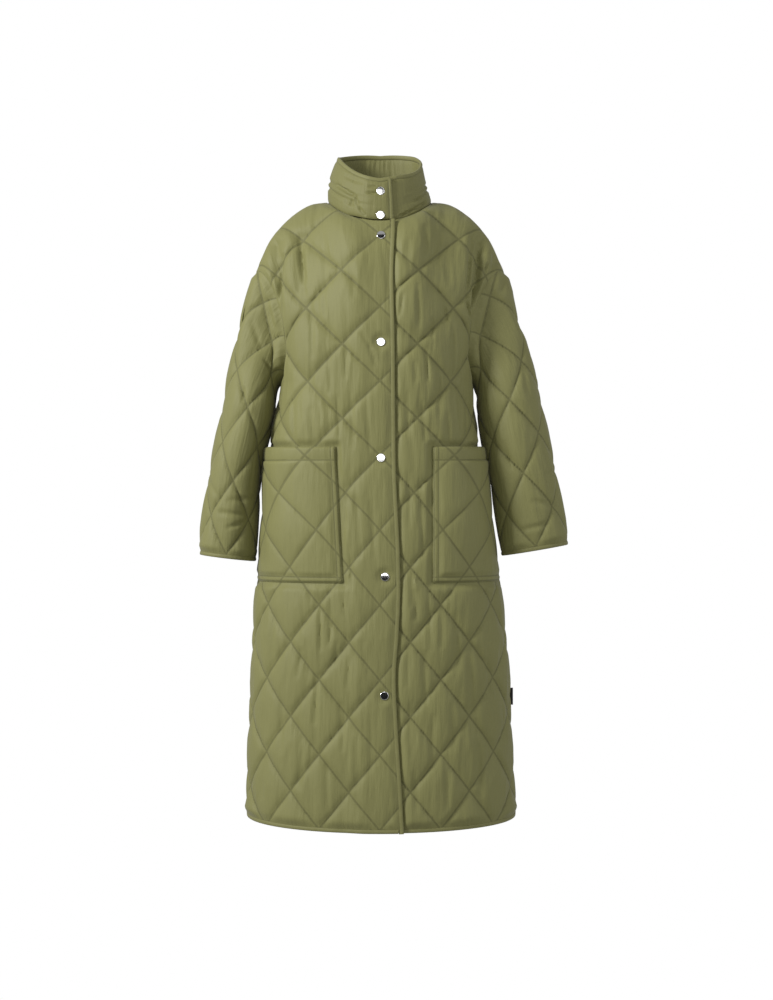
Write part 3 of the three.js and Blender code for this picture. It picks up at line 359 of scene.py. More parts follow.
def body_point(side, face, u, v):
    """The body's inner face at points of the cloth."""
    across = np.abs(u)
    inside = np.minimum(across, seam_cut(side, face, v))
    point = np.zeros((len(u), 3))
    low = v <= CHEST_V
    if low.any():
        point[low, :2] = along(ring_lines(side, face, HEM_Z + v[low]), inside[low])
        point[low, 2] = HEM_Z + v[low]
    if not low.all():
        point[~low] = along(body_columns(side, face, inside[~low]), v[~low] - CHEST_V)
    point[:, 1] -= across - inside
    point[:, 0] *= side * np.where(u < 0, -1, 1)
    point[:, 1] *= face
    if side == RIGHT and face == FRONT:
        point[:, 1] -= LIFT * (1 - smooth(LIFT_TO, LIFT_FROM, u))
    return point


class Surface:
    """A map from the cloth to the coat, with its outward normal."""

    def __init__(self, point, turn):
        self.point = point
        self.turn = turn

    def normal(self, u, v, step=1.5):
        across = self.point(u + step, v) - self.point(u - step, v)
        up = self.point(u, v + step) - self.point(u, v - step)
        return unit(np.cross(across, up)) * self.turn

    def grid(self, uv):
        """Points for a grid of cloth coordinates, (rows, columns, 2)."""
        return self.point(uv[..., 0].ravel(), uv[..., 1].ravel()).reshape(uv.shape[:2] + (3,))

    def grid_normals(self, point):
        """Normals for a grid of points, whose columns run with u and whose rows run with v."""
        return unit(np.cross(np.gradient(point, axis=1), np.gradient(point, axis=0))) * self.turn


def body_surface(side, face):
    return Surface(lambda u, v: body_point(side, face, u, v), -side * face)


class BackSurface(Surface):
    """The back, in one piece across the centre line."""

    def __init__(self):
        self.halves = {side: body_surface(side, BACK) for side in (RIGHT, LEFT)}
        self.turn = -1

    def both(self, name, u, v):
        out = np.zeros((len(u), 3))
        for side in (RIGHT, LEFT):
            mine = u < 0 if side == RIGHT else u >= 0
            if mine.any():
                out[mine] = getattr(self.halves[side], name)(np.abs(u[mine]), v[mine])
        return out

    def point(self, u, v):
        return self.both("point", u, v)

    def normal(self, u, v):
        return self.both("normal", u, v)


# Folds of the whole wall beside the armholes: u and v of both ends in cloth coordinates, width, depth

FOLD_ROWS = {
    LEFT: ((168, 1062, 186, 905, 13, 12), (206, 1040, 216, 960, 10, 10)),
    RIGHT: ((132, 1060, 138, 960, 14, 6), (178, 1050, 196, 930, 12, 8)),
}
BACK_FOLD_SHARE = 0.6


def line_distance(u, v, u0, v0, u1, v1):
    """Distance from points to a short line, and how far along it they lie."""
    du, dv = u1 - u0, v1 - v0
    t = ((u - u0) * du + (v - v0) * dv) / (du * du + dv * dv)
    inside = np.clip(t, 0, 1)
    return np.hypot(u - u0 - inside * du, v - v0 - inside * dv), t


def fold_depth(side, face, u, v):
    depth = np.zeros_like(u)
    for u0, v0, u1, v1, width, deep in FOLD_ROWS[side]:
        distance, _ = line_distance(u, v, u0, v0, u1, v1)
        depth += deep * soft_bump(distance, width)
    return depth if face == FRONT else BACK_FOLD_SHARE * depth


# Sleeve map. u starts at the underarm seam and runs round by the front.


def armhole_line(side, face):
    tip = tip_cut(side, face)
    tip_v = float(body_top(side, face, tip)[0])
    low = float(seam_cut(side, face, CHEST_V))
    corners = (
        [[tip, tip_v]],
        [[tip - ARMHOLE["tip_in"], tip_v - ARMHOLE["tip_down"]]],
        [[low - ARMHOLE["low_in"], CHEST_V + ARMHOLE["low_up"]]],
        [[low, CHEST_V]],
    )
    return bezier(*corners, 96)[0]


ARMHOLES = {(side, face): armhole_line(side, face) for side in (RIGHT, LEFT) for face in (FRONT, BACK)}


def armhole_at(side, share):
    """The armhole's loop at shares of the way round, with the body's normal and outward way there."""
    point, normal, across = (np.zeros((len(share), 3)) for _ in range(3))
    for face in (FRONT, BACK):
        mine = share <= 0.5 if face == FRONT else share > 0.5
        if not mine.any():
            continue
        line = ARMHOLES[side, face]
        total = length_of(line)
        from_tip = total * (1 - 2 * share[mine] if face == FRONT else 2 * share[mine] - 1)
        lines = np.repeat(line[None], mine.sum(), axis=0)
        spot = along(lines, from_tip)
        before, after = (along(lines, np.clip(from_tip + k * total, 0, total)) for k in (-0.004, 0.004))
        wall = body_surface(side, face)
        point[mine] = wall.point(spot[:, 0], spot[:, 1])
        normal[mine] = wall.normal(spot[:, 0], spot[:, 1], 0.6)
        way = unit(wall.point(after[:, 0], after[:, 1]) - wall.point(before[:, 0], before[:, 1]))
        out = unit(np.cross(way, normal[mine]))
        flat = after - before
        flat_out = unit(np.stack([-flat[:, 1], flat[:, 0]], axis=1))
        flat_out *= np.where(flat_out.sum(1) < 0, -1, 1)[:, None]
        trial = wall.point(spot[:, 0] + flat_out[:, 0], spot[:, 1] + flat_out[:, 1]) - point[mine]
        across[mine] = out * np.where((trial * out).sum(1) < 0, -1, 1)[:, None]
    return point, normal, across


SLEEVES = {side: as_table(SLEEVE_COLUMNS, SLEEVE_ROWS[side]) for side in (RIGHT, LEFT)}


def sleeve_ring(side, share, v):
    table = SLEEVES[side]
    z = table["z"][0] + v
    centre, half_x, half_y, y = (read_table(table, "z", name, z) for name in SLEEVE_COLUMNS[1:])
    x = -half_x * np.cos(2 * math.pi * share)
    forward = y - half_y * np.sin(2 * math.pi * share)
    return np.stack([side * (centre + x), forward, z + SLEEVE_TILT[side] * x], axis=1)


def sleeve_columns(side, share):
    """Lines up the sleeve, from where its full rings end to the armhole."""
    point, normal, across = armhole_at(side, np.clip(share, 0, 1))
    under = np.clip(np.cos(2 * math.pi * share), 0, 1)[:, None] ** 1.5
    drop = np.array([0, 0, -SLEEVE_BEND["drop"]])
    heading = unit(across * (1 - under) + normal * under + drop * (1 - under))
    join = np.full(len(share), SLEEVE_JOIN_V)
    start = sleeve_ring(side, share, join)
    rise = unit(start - sleeve_ring(side, share, join - 4))
    end = point + across * (ARMHOLE["gap"] + under**0.6 * WALL * SLEEVE_BEND["under_step"])
    span = np.linalg.norm(start - end, axis=1, keepdims=True)
    pull = SLEEVE_BEND["hole_pull"] + SLEEVE_BEND["under_pull"] * under
    start_handle = start + rise * span * SLEEVE_BEND["ring_pull"]
    return bezier(start, start_handle, end + heading * span * pull, end, COLUMN_STEPS)


def sleeve_point(side, u, v):
    share = u / SLEEVE_FLAT
    out = sleeve_ring(side, share, v)
    high = v > SLEEVE_JOIN_V
    if high.any():
        wanted, back = np.unique(np.round(share[high], 6), return_inverse=True)
        out[high] = along(sleeve_columns(side, wanted)[back], v[high] - SLEEVE_JOIN_V)
    return out


def sleeve_top(side, u):
    return SLEEVE_JOIN_V + lengths_of(sleeve_columns(side, u / SLEEVE_FLAT))


def sleeve_surface(side):
    return Surface(lambda u, v: sleeve_point(side, u, v), side)


# Collar map. u runs from the left end, which lies underneath, round the back to the right end on top.


def collar_loop():
    parts = []
    quarters = ((LEFT, FRONT, False), (LEFT, BACK, True), (RIGHT, BACK, False), (RIGHT, FRONT, True))
    for side, face, backwards in quarters:
        turn = np.linspace(0, 1, 61)
        if backwards:
            turn = turn[::-1]
        point = top_edge(side, face, NECK_CUT * np.sin(math.pi / 2 * turn))
        parts.append((point * np.array([side, face, 1]))[:-1])
    parts.append(parts[0][:1])
    return np.concatenate(parts)


COLLAR_LOOP = collar_loop()
COLLAR_LENGTH = length_of(COLLAR_LOOP)


def collar_point(u, h):
    lines = np.repeat(COLLAR_LOOP[None], len(u), axis=0)
    past = (u < 0) | (u > COLLAR_LENGTH)
    inside = np.where(u < 0, -u, np.where(u > COLLAR_LENGTH, 2 * COLLAR_LENGTH - u, u))
    foot = along(lines, inside)
    foot[past, 0] *= -1
    t = h / COLLAR_HEIGHT
    size = np.linalg.norm(foot[:, :2], axis=1)
    lean = COLLAR_TOP["bow"] * (0.3 - 0.9 * foot[:, 0] / NECK_HALF_WIDTH)
    inset = (size - COLLAR_INSET + lean * np.sin(math.pi * np.clip(t, 0, 1))) / size
    lift = LIFT * smooth(COLLAR_LENGTH - LIFT_FROM, COLLAR_LENGTH - LIFT_TO, u)
    beside = smooth(COLLAR_DIP["from_x"], COLLAR_DIP["to_x"], foot[:, 0])
    dip = COLLAR_DIP["share"] * beside * (1 - smooth(COLLAR_DIP["front_y"], COLLAR_DIP["back_y"], foot[:, 1]))
    return np.stack(
        [
            foot[:, 0] * inset * (1 + (COLLAR_TOP["x"] - 1) * t),
            foot[:, 1] * inset * (1 + (COLLAR_TOP["y"] - 1) * t) - lift,
            foot[:, 2] + h * (1 + COLLAR_TOP["side_rise"] * np.abs(foot[:, 0]) / NECK_HALF_WIDTH - dip),
        ],
        axis=1,
    )


COLLAR_SURFACE = Surface(collar_point, 1)


def collar_foot(u):
    from_end = COLLAR_LENGTH - u
    return GAP + COLLAR_RISE["over"] * (1 - smooth(COLLAR_RISE["to"], COLLAR_RISE["from"], from_end))


# Cloth heights


# How the padding rises beside a stitch line: the share and reach of its quick rise, and of its slow one
QUICK_RISE = {"share": 0.66, "reach": 4.2}
SLOW_RISE = {"share": 0.34, "reach": 40.0}
DIAMOND_UNEVEN = 0.16


def crown(distance):
    quick = QUICK_RISE["share"] * (1 - np.exp(-distance / QUICK_RISE["reach"]))
    slow = SLOW_RISE["share"] * np.sin(math.pi / 2 * np.clip(distance / SLOW_RISE["reach"], 0, 1))
    return quick + slow


class Lattice:
    """The quilting's diamonds: where one crossing lies, and how wide a diamond is low down and high up."""

    def __init__(self, u, v, width=DIAMOND_WIDTH, top_width=None):
        self.u, self.v, self.width, self.height = u, v, width, DIAMOND_HEIGHT
        self.top_width = top_width or width
        middle = (self.width + self.top_width) / 2
        self.pitch = middle * self.height / math.hypot(middle, self.height)

    def width_at(self, v):
        share = smooth(FRONT_DIAMOND["from_v"], FRONT_DIAMOND["to_v"], v)
        return self.width + (self.top_width - self.width) * share

    def phases(self, u, v):
        x, y = (u - self.u) / self.width_at(v), (v - self.v) / self.height
        return x - y, x + y

    def relief(self, u, v, seed):
        """0 on the stitch lines, about 1 in the middle of each diamond."""
        a, b = self.phases(u, v)
        first = np.abs(a - np.round(a)) * self.pitch
        second = np.abs(b - np.round(b)) * self.pitch
        fullness = 1 + DIAMOND_UNEVEN * noise(np.floor(a) * 1.0, np.floor(b) * 1.0, seed)
        return crown(first) * crown(second) * fullness


FRONT_LATTICE = Lattice(0, 5.9, FRONT_DIAMOND["skirt"], FRONT_DIAMOND["chest"])
BACK_LATTICE = Lattice(0, 5.9)
SLEEVE_LATTICE = Lattice(0, 8, SLEEVE_FLAT / 4)


# Upright ridges, for each place: their height, how far apart they are and how tall
RIDGES = {
    "front": (1.0, 13, 62),
    "back": (1.0, 14, 66),
    "sleeve": (0.8, 15, 70),
    "collar": (0.8, 17, 90),
    "collar inside": (1.0, 11, 60),
    "pocket": (0.5, 16, 60),
}
# How far the ridges wander, and over what lengths
RIDGE_BEND = {"by": 7, "across": 70, "up": 60}


def ridges(u, v, seed, place):
    """Upright soft ridges, uneven in length and spacing, with narrow valleys between them."""
    height, spacing, tall = RIDGES[place]
    bent = u + RIDGE_BEND["by"] * noise(u / RIDGE_BEND["across"], v / RIDGE_BEND["up"], seed + 1)
    return height * (1 - 2 * np.abs(noise(bent / spacing, v / tall, seed)))


def outline_distance(points, outline):
    """How far each point of the flat cloth lies from a closed outline."""
    a = np.asarray(outline, float)
    b = np.roll(a, -1, axis=0)
    ab = b - a
    size = np.maximum((ab**2).sum(1), 1e-9)
    out = np.empty(len(points))
    for start in range(0, len(points), 4000):
        p = points[start : start + 4000, None, :] - a[None]
        t = np.clip((p * ab).sum(2) / size, 0, 1)
        out[start : start + 4000] = np.sqrt(((p - t[..., None] * ab) ** 2).sum(2).min(1))
    return out


def photo_place(points):
    """Where points of the coat show in the photograph, in its pixels."""
    size = -CAMERA[1] / (points[..., 1] - CAMERA[1])
    x = MIDDLE_PX[0] + (CAMERA[0] + (points[..., 0] - CAMERA[0]) * size) / PIXEL
    y = MIDDLE_PX[1] - (CAMERA[2] + (points[..., 2] - CAMERA[2]) * size) / PIXEL
    return np.stack([x, y], axis=-1)


def photo_creases(rows, seen, u, v, visible=None):
    """Depth of creases whose ends are told in the photograph's pixels: x0, y0, x1, y1, width, depth.

    seen holds where each point of the grid shows there. A crease is a narrow valley between two low banks.
    """
    depth = np.zeros_like(u)
    flat_seen = seen.reshape(-1, 2)
    flat_u, flat_v = u.ravel(), v.ravel()
    for x0, y0, x1, y1, width, deep in rows:
        ends = []
        for x, y in ((x0, y0), (x1, y1)):
            far = np.hypot(flat_seen[:, 0] - x, flat_seen[:, 1] - y)
            if visible is not None:
                far = np.where(visible.ravel(), far, np.inf)
            nearest = int(np.argmin(far))
            ends += [flat_u[nearest], flat_v[nearest]]
        depth += crease(u, v, *ends, width, deep)
    return depth


# How high the banks beside a crease's valley are
CREASE_BANK = 0.7


def crease(u, v, u0, v0, u1, v1, width, deep):
    distance, t = line_distance(u, v, u0, v0, u1, v1)
    taper = np.clip(4 * np.clip(t, 0, 1) * (1 - np.clip(t, 0, 1)), 0, 1) ** 0.6
    return deep * taper * (1 - CREASE_BANK * (distance / width) ** 2) * soft_bump(distance, width)


# Mesh making


def coons(bottom, right, top, left, columns, rows):
    """A grid of cloth coordinates between four lines, where those that face each other run the same way."""
    b, t = resample(bottom, columns)[None], resample(top, columns)[None]
    l, r = resample(left, rows)[:, None], resample(right, rows)[:, None]
    x = np.linspace(0, 1, columns + 1)[None, :, None]
    y = np.linspace(0, 1, rows + 1)[:, None, None]
    low_corners = (1 - y) * ((1 - x) * b[:, :1] + x * b[:, -1:])
    high_corners = y * ((1 - x) * t[:, :1] + x * t[:, -1:])
    return (1 - y) * b + y * t + (1 - x) * l + x * r - low_corners - high_corners


def quads(rows, columns, start, flipped):
    """The faces of a grid of points, as indices."""
    j, i = np.meshgrid(np.arange(rows - 1), np.arange(columns - 1), indexing="ij")
    a = (start + j * columns + i).ravel()
    faces = np.stack([a, a + 1, a + columns + 1, a + columns], axis=1)
    return faces[:, ::-1] if flipped else faces


def tube_faces(rings, sides):
    """The faces of a tube whose points run round each ring in turn."""
    index = np.arange(rings * sides).reshape(rings, sides)
    following = np.roll(index, -1, axis=1)
    return np.stack([index[:-1], following[:-1], following[1:], index[1:]], axis=-1).reshape(-1, 4)


def make_mesh(name, points, faces, uv, material, sharp_degrees=50):
    """A smooth-shaded mesh, with its cloth coordinates in metres as a UV map."""
    mesh = bpy.data.meshes.new(name)
    mesh.from_pydata((points * MM).tolist(), [], [list(map(int, face)) for face in faces])
    mesh.validate()
    layer = mesh.uv_layers.new(name="cloth")
    corner = np.zeros(len(mesh.loops), int)
    mesh.loops.foreach_get("vertex_index", corner)
    layer.data.foreach_set("uv", (uv[corner] * MM).ravel())
    mesh.shade_smooth()
    mesh.set_sharp_from_angle(angle=math.radians(sharp_degrees))
    mesh.materials.append(material)
    piece = bpy.data.objects.new(name, mesh)
    bpy.context.collection.objects.link(piece)
    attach(piece, "root")
    return piece


def shell(name, uv, point, normal, outer, inner, material):
    """A closed wall of cloth from a grid of points and the heights of its two faces."""
    rows, columns = uv.shape[:2]
    outer = np.maximum(outer, inner + THINNEST)
    out = point + normal * outer[..., None]
    inn = point + normal * inner[..., None]
    step_i = out[1:-1, 2:] - out[1:-1, :-2]
    step_j = out[2:, 1:-1] - out[:-2, 1:-1]
    flipped = float((np.cross(step_i, step_j) * normal[1:-1, 1:-1]).sum()) < 0
    count = rows * columns
    faces = [quads(rows, columns, 0, flipped), quads(rows, columns, count, not flipped)]
    index = np.arange(count).reshape(rows, columns)
    border = np.concatenate([index[0, :-1], index[:-1, -1], index[-1, :0:-1], index[:0:-1, 0]])
    following = np.roll(border, -1)
    rim = np.stack([following, border, border + count, following + count], axis=1)
    faces.append(rim[:, ::-1] if flipped else rim)
    points = np.concatenate([out.reshape(-1, 3), inn.reshape(-1, 3)])
    flat = np.concatenate([uv.reshape(-1, 2)] * 2)
    return make_mesh(name, points, np.concatenate(faces), flat, material)


# How far in from its edge a binding is stitched down, how long its steps are and how much it puckers
BINDING_STITCH = 7.7
BINDING_CELL = 3.5
PUCKER = {"height": 0.35, "length": 5.5, "above": 2.5}
# The section of a binding: how far in from the edge, and how high over the map. It is a folded strip.
BINDING_SECTION = (
    (0.9, -0.8),
    (0.2, -0.2),
    (0.0, 1.0),
    (0.1, 2.1),
    (0.7, 3.0),
    (2.0, 3.5),
    (4.0, 3.7),
    (6.0, 3.4),
    (7.2, 2.9),
    (7.7, 2.6),
    (8.3, 3.1),
    (8.9, 3.1),
    (9.0, 2.1),
    (8.6, 0.4),
    (7.0, -0.7),
    (4.0, -0.9),
)


def binding(name, edge, surface, material, seed, drop=0.0):
    """A folded strip along an edge of the cloth. Inwards is to the left of the edge line."""
    edge = resample(edge, int(length_of(edge) / BINDING_CELL))
    way = unit(np.gradient(edge, axis=0))
    inward = np.stack([-way[:, 1], way[:, 0]], axis=1)
    run = np.concatenate([[0], np.cumsum(np.linalg.norm(np.diff(edge, axis=0), axis=1))])
    points, flat = [], []
    for across, height in BINDING_SECTION:
        uneven = noise(run / PUCKER["length"], np.full(len(run), across / BINDING_WIDTH), seed)
        pucker = PUCKER["height"] * uneven * (height > PUCKER["above"])
        spot = edge + inward * across
        normal = surface.normal(spot[:, 0], spot[:, 1])
        level = np.minimum(height, height - drop) + pucker
        points.append(surface.point(spot[:, 0], spot[:, 1]) + normal * level[:, None])
        flat.append(np.stack([run, np.full(len(run), across)], axis=1))
    sides = len(BINDING_SECTION)
    solid = np.stack(points, axis=1).reshape(-1, 3)
    faces = list(tube_faces(len(edge), sides))
    faces.append(np.arange(sides)[::-1])
    faces.append(np.arange(len(solid) - sides, len(solid)))
    a, b, c = solid[faces[0][:3]]
    if np.dot(np.cross(b - a, c - a), (a + c) / 2 - solid[:sides].mean(0)) < 0:
        faces = [face[::-1] for face in faces]
    return make_mesh(name, solid, faces, np.stack(flat, axis=1).reshape(-1, 2), material)


# Outlines in cloth coordinates

DRIFT = as_table(("v", "drift"), EDGE_DRIFT)


def edge_drift(v):
    return read_table(DRIFT, "v", "drift", np.minimum(v, DRIFT["v"][-1]))


def hem_v(side, face, u):
    return HEM_RISE * (np.abs(u) / seam_cut(side, face, 0)) ** 2


def vent_u(side, face, v):
    return seam_cut(side, face, v) - GAP / 2 - VENT_GAP * (1 - smooth(0, VENT_TOP, v))


def hem_and_vent(side, face, from_u, inset=0.0):
    """The hem from a place near the centre, round the corner and up the vent."""
    corner_u = float(vent_u(side, face, VENT_CORNER))
    flat_end = corner_u - VENT_CORNER
    corner_v = float(hem_v(side, face, corner_u)) + VENT_CORNER
    u = np.linspace(from_u, flat_end, 60)
    angle = np.linspace(0, math.pi / 2, 13)[1:-1]
    v = np.linspace(corner_v, VENT_TOP, 30)
    line = np.concatenate(
        [
            np.stack([u, hem_v(side, face, u)], axis=1),
            [flat_end, corner_v] + VENT_CORNER * np.stack([np.sin(angle), -np.cos(angle)], axis=1),
            np.stack([vent_u(side, face, v), v], axis=1),
        ]
    )
    way = unit(np.gradient(line, axis=0))
    return line + np.stack([-way[:, 1], way[:, 0]], axis=1) * inset


def top_line(side, face, to_u):
    """The neckline from a place near the centre, then the shoulder seam out to its tip."""
    neck_end = math.acos(np.clip(to_u / NECK_CUT, -1, 1))
    neck = NECK_CUT * np.cos(np.linspace(neck_end, 0, 40))
    shoulder = np.linspace(NECK_CUT, tip_cut(side, face), 60)[1:]
    u = np.concatenate([neck, shoulder])
    return np.stack([u, body_top(side, face, u) - GAP / 2], axis=1)


# How far the cloth ends inside its binding, where the side seam starts over the vent, and a u past which the
# hem's corner lies
TUCK = 5.0
SEAM_START = VENT_TOP + 14
PAST_MIDDLE = 150.0


def half_borders(side, face, from_u, drifts=False):
    """Bottom, right, top and left borders of a front, or of half the back."""
    foot_u = from_u - float(edge_drift(TUCK)) if drifts else from_u
    line = hem_and_vent(side, face, foot_u, TUCK)
    from_corner = np.abs(line[:, 1] - line[:, 1].min() - VENT_CORNER)
    turn = int(np.argmin(np.where(line[:, 0] < PAST_MIDDLE, np.inf, from_corner)))
    bottom, vent = line[: turn + 1], line[turn:]
    v = np.linspace(SEAM_START, CHEST_V, 60)
    seam = np.stack([seam_cut(side, face, v) - GAP / 2, v], axis=1)
    armhole = ARMHOLES[side, face][::-1].copy()
    armhole[:, 0] = np.minimum(armhole[:, 0], seam[-1, 0])
    right = np.concatenate([vent, seam, armhole[1:]])
    top = top_line(side, face, from_u)
    top[-1] = right[-1]
    v = np.linspace(bottom[0, 1], top[0, 1], 200)
    edge = from_u - edge_drift(v) if drifts else np.full(len(v), from_u)
    edge[0], edge[-1] = bottom[0, 0], top[0, 0]
    return bottom, right, top, np.stack([edge, v], axis=1)


def grid_between(borders, cell):
    bottom, right, top, left = borders
    width = max(length_of(line) for line in (bottom, top))
    height = max(length_of(line) for line in (right, left))
    return coons(bottom, right, top, left, int(width / cell), int(height / cell))


def upright_grid(u, foot, top, rows):
    """A grid of cloth coordinates with upright columns, each from its foot to its top."""
    t = np.linspace(0, 1, rows + 1)[:, None]
    return np.stack(np.broadcast_arrays(u[None], foot + (top - foot) * t), axis=2)


# Materials


# Stitches and the troughs they lie in: half widths, a stitch's length, how high and how deep they are, and
# how much painted shade darkens the troughs' colour
STITCH = {"half_width": 0.7, "length": 3.4, "height": 0.22}
TROUGH = {"quilting": 2.6, "seam": 1.6, "depth": 0.25, "painted_trough_shade": 0.26}
# The weave: the spacing of its yarns and its height, then the height of its long uneven streaks
YARN = 0.6
WEAVE_HEIGHT = 0.02
STREAK_HEIGHT = 1.3
BINDING_STREAK_HEIGHT = 0.2


def feed(tree, socket, value):
    """Gives a socket its value, or links another socket to it."""
    if isinstance(value, bpy.types.NodeSocket):
        tree.links.new(value, socket)
    else:
        socket.default_value = value


def node(tree, kind, **inputs):
    made = tree.nodes.new(kind)
    for name, value in inputs.items():
        feed(tree, made.inputs[name], value)
    return made


def maths(tree, operation, *values):
    made = tree.nodes.new("ShaderNodeMath")
    made.operation = operation
    for i, value in enumerate(values):
        feed(tree, made.inputs[i], value)
    return made.outputs[0]


def new_material(name):
    material = bpy.data.materials.new(name)
    material.use_nodes = True
    return material, material.node_tree, material.node_tree.nodes["Principled BSDF"]


def map_range(tree, value, to_low, to_high, from_low=0.0, from_high=1.0, bent=False):
    """A value carried from one range to another, in a straight line or with an even bend."""
    made = node(tree, "ShaderNodeMapRange", Value=value)
    if bent:
        made.interpolation_type = "SMOOTHSTEP"
    ends = {"From Min": from_low, "From Max": from_high, "To Min": to_low, "To Max": to_high}
    for name, number in ends.items():
        made.inputs[name].default_value = number
    return made.outputs[0]


def line_mask(tree, distance, half_width):
    """1 on a line and 0 away from it, for a distance in metres."""
    return map_range(tree, distance, 1.0, 0.0, half_width * 0.35, half_width, bent=True)


def stitched(tree, mask, run):
    """A stitch mask broken into single stitches."""
    turn = maths(tree, "MULTIPLY", run, math.pi / (STITCH["length"] * MM))
    beat = maths(tree, "ABSOLUTE", maths(tree, "SINE", turn))
    return maths(tree, "MULTIPLY", mask, maths(tree, "POWER", beat, 0.35))


def cloth_material(name, colour, lattice=None, lines=(), streak_height=STREAK_HEIGHT):
    """Matt woven cloth, whose colour is darkened with painted shade along the troughs of its quilting and
    seams. lines are straight seams told as (u share, v share, offset in millimetres).
    """
    material, tree, shader = new_material(name)
    place = tree.nodes.new("ShaderNodeUVMap")
    place.uv_map = "cloth"
    split = node(tree, "ShaderNodeSeparateXYZ", Vector=place.outputs[0])
    u, v = split.outputs[0], split.outputs[1]

    masks, threads = [], []

    def add_seam(distance, run, half_width):
        masks.append(line_mask(tree, distance, half_width * MM))
        thread = line_mask(tree, distance, STITCH["half_width"] * MM)
        threads.append(stitched(tree, thread, run))

    if lattice is not None:
        heights = FRONT_DIAMOND["from_v"] * MM, FRONT_DIAMOND["to_v"] * MM
        width = map_range(tree, v, lattice.width * MM, lattice.top_width * MM, *heights, bent=True)
        x = maths(tree, "DIVIDE", maths(tree, "SUBTRACT", u, lattice.u * MM), width)
        y = maths(tree, "DIVIDE", maths(tree, "SUBTRACT", v, lattice.v * MM), lattice.height * MM)
        for operation, run_operation in (("SUBTRACT", "ADD"), ("ADD", "SUBTRACT")):
            phase = maths(tree, operation, x, y)
            near = maths(tree, "ABSOLUTE", maths(tree, "SUBTRACT", phase, maths(tree, "ROUND", phase)))
            distance = maths(tree, "MULTIPLY", near, lattice.pitch * MM)
            run = maths(tree, "MULTIPLY", maths(tree, run_operation, x, y), lattice.pitch * MM)
            add_seam(distance, run, TROUGH["quilting"])
    for u_share, v_share, offset in lines:
        across = maths(tree, "MULTIPLY_ADD", u, u_share, maths(tree, "MULTIPLY", v, v_share))
        distance = maths(tree, "ABSOLUTE", maths(tree, "SUBTRACT", across, offset * MM))
        run = maths(tree, "MULTIPLY_ADD", u, v_share, maths(tree, "MULTIPLY", v, -u_share))
        add_seam(distance, run, TROUGH["seam"])

    def most(values):
        return reduce(lambda a, b: maths(tree, "MAXIMUM", a, b), values)

    spots = tree.nodes.new("ShaderNodeTexCoord")
    patches = node(tree, "ShaderNodeTexNoise", Vector=spots.outputs["Object"], Scale=9.0, Detail=3.0)
    flecks = node(tree, "ShaderNodeTexNoise", Vector=place.outputs[0], Scale=1400.0, Detail=1.0)
    tone = map_range(tree, patches.outputs["Fac"], 0.93, 1.07)
    fleck = map_range(tree, flecks.outputs["Fac"], 0.94, 1.06)
    strength = maths(tree, "MULTIPLY", tone, fleck)
    # Painted shade: the colour is darkened over the width of each stitched trough, where shade falls
    if masks:
        shade = maths(tree, "MULTIPLY_ADD", most(masks), -TROUGH["painted_trough_shade"], 1.0)
        strength = maths(tree, "MULTIPLY", strength, shade)
    coloured = node(tree, "ShaderNodeVectorMath")
    coloured.operation = "SCALE"
    coloured.inputs[0].default_value = colour
    tree.links.new(strength, coloured.inputs["Scale"])
    tree.links.new(coloured.outputs[0], shader.inputs["Base Color"])

    yarn = 2 * math.pi / (YARN * MM)
    weft, warp = (maths(tree, "SINE", maths(tree, "MULTIPLY", way, yarn)) for way in (u, v))
    weave = maths(tree, "MULTIPLY", maths(tree, "MULTIPLY", weft, warp), WEAVE_HEIGHT * MM)
    long_way = node(tree, "ShaderNodeVectorMath")
    long_way.operation = "MULTIPLY"
    tree.links.new(place.outputs[0], long_way.inputs[0])
    long_way.inputs[1].default_value = (1.0, 0.13, 1.0)
    streaks = node(tree, "ShaderNodeTexNoise", Vector=long_way.outputs[0], Scale=150.0, Detail=2.0)
    height = maths(tree, "MULTIPLY_ADD", streaks.outputs["Fac"], streak_height * MM, weave)
    if threads:
        height = maths(tree, "MULTIPLY_ADD", most(masks), -TROUGH["depth"] * MM, height)
        height = maths(tree, "MULTIPLY_ADD", most(threads), STITCH["height"] * MM, height)
    bump = node(tree, "ShaderNodeBump", Height=height, Strength=1.0)
    bump.inputs["Distance"].default_value = 1.0
    tree.links.new(bump.outputs[0], shader.inputs["Normal"])
    shader.inputs["Roughness"].default_value = 0.58
    shader.inputs["Specular IOR Level"].default_value = 0.3
    shader.inputs["Sheen Weight"].default_value = 0.1
    shader.inputs["Sheen Roughness"].default_value = 0.45
    return material


def steel_material():
    material, tree, shader = new_material("polished snap cap")
    shader.inputs["Metallic"].default_value = 1.0
    spots = tree.nodes.new("ShaderNodeTexCoord")
    scuffs = node(tree, "ShaderNodeTexNoise", Vector=spots.outputs["Object"], Scale=900.0, Detail=4.0)
    for name, low, high in (("Roughness", 0.05, 0.13), ("Base Color", 0.78, 0.88)):
        tree.links.new(map_range(tree, scuffs.outputs["Fac"], low, high), shader.inputs[name])
    return material


def card_material():
    material, _, shader = new_material("black card")
    shader.inputs["Base Color"].default_value = (0.004, 0.004, 0.004, 1)
    shader.inputs["Roughness"].default_value = 0.9
    return material


OLIVE = (0.208, 0.204, 0.075)
BINDING_OLIVE = (0.2, 0.195, 0.074)
COLLAR_OLIVE = (0.19, 0.185, 0.067)
BLACK = (0.012, 0.01, 0.009)

front_cloth = cloth_material("quilted front cloth", OLIVE, FRONT_LATTICE)
back_cloth = cloth_material("quilted back cloth", OLIVE, BACK_LATTICE)
sleeve_cloth = cloth_material("quilted sleeve cloth", OLIVE, SLEEVE_LATTICE)
collar_cloth = cloth_material("collar cloth", COLLAR_OLIVE)
binding_seam = ((0, 1, BINDING_STITCH),)
binding_cloth = cloth_material("binding cloth", BINDING_OLIVE, None, binding_seam, BINDING_STREAK_HEIGHT)
tab_cloth = cloth_material("tab tape", BLACK)
steel = steel_material()


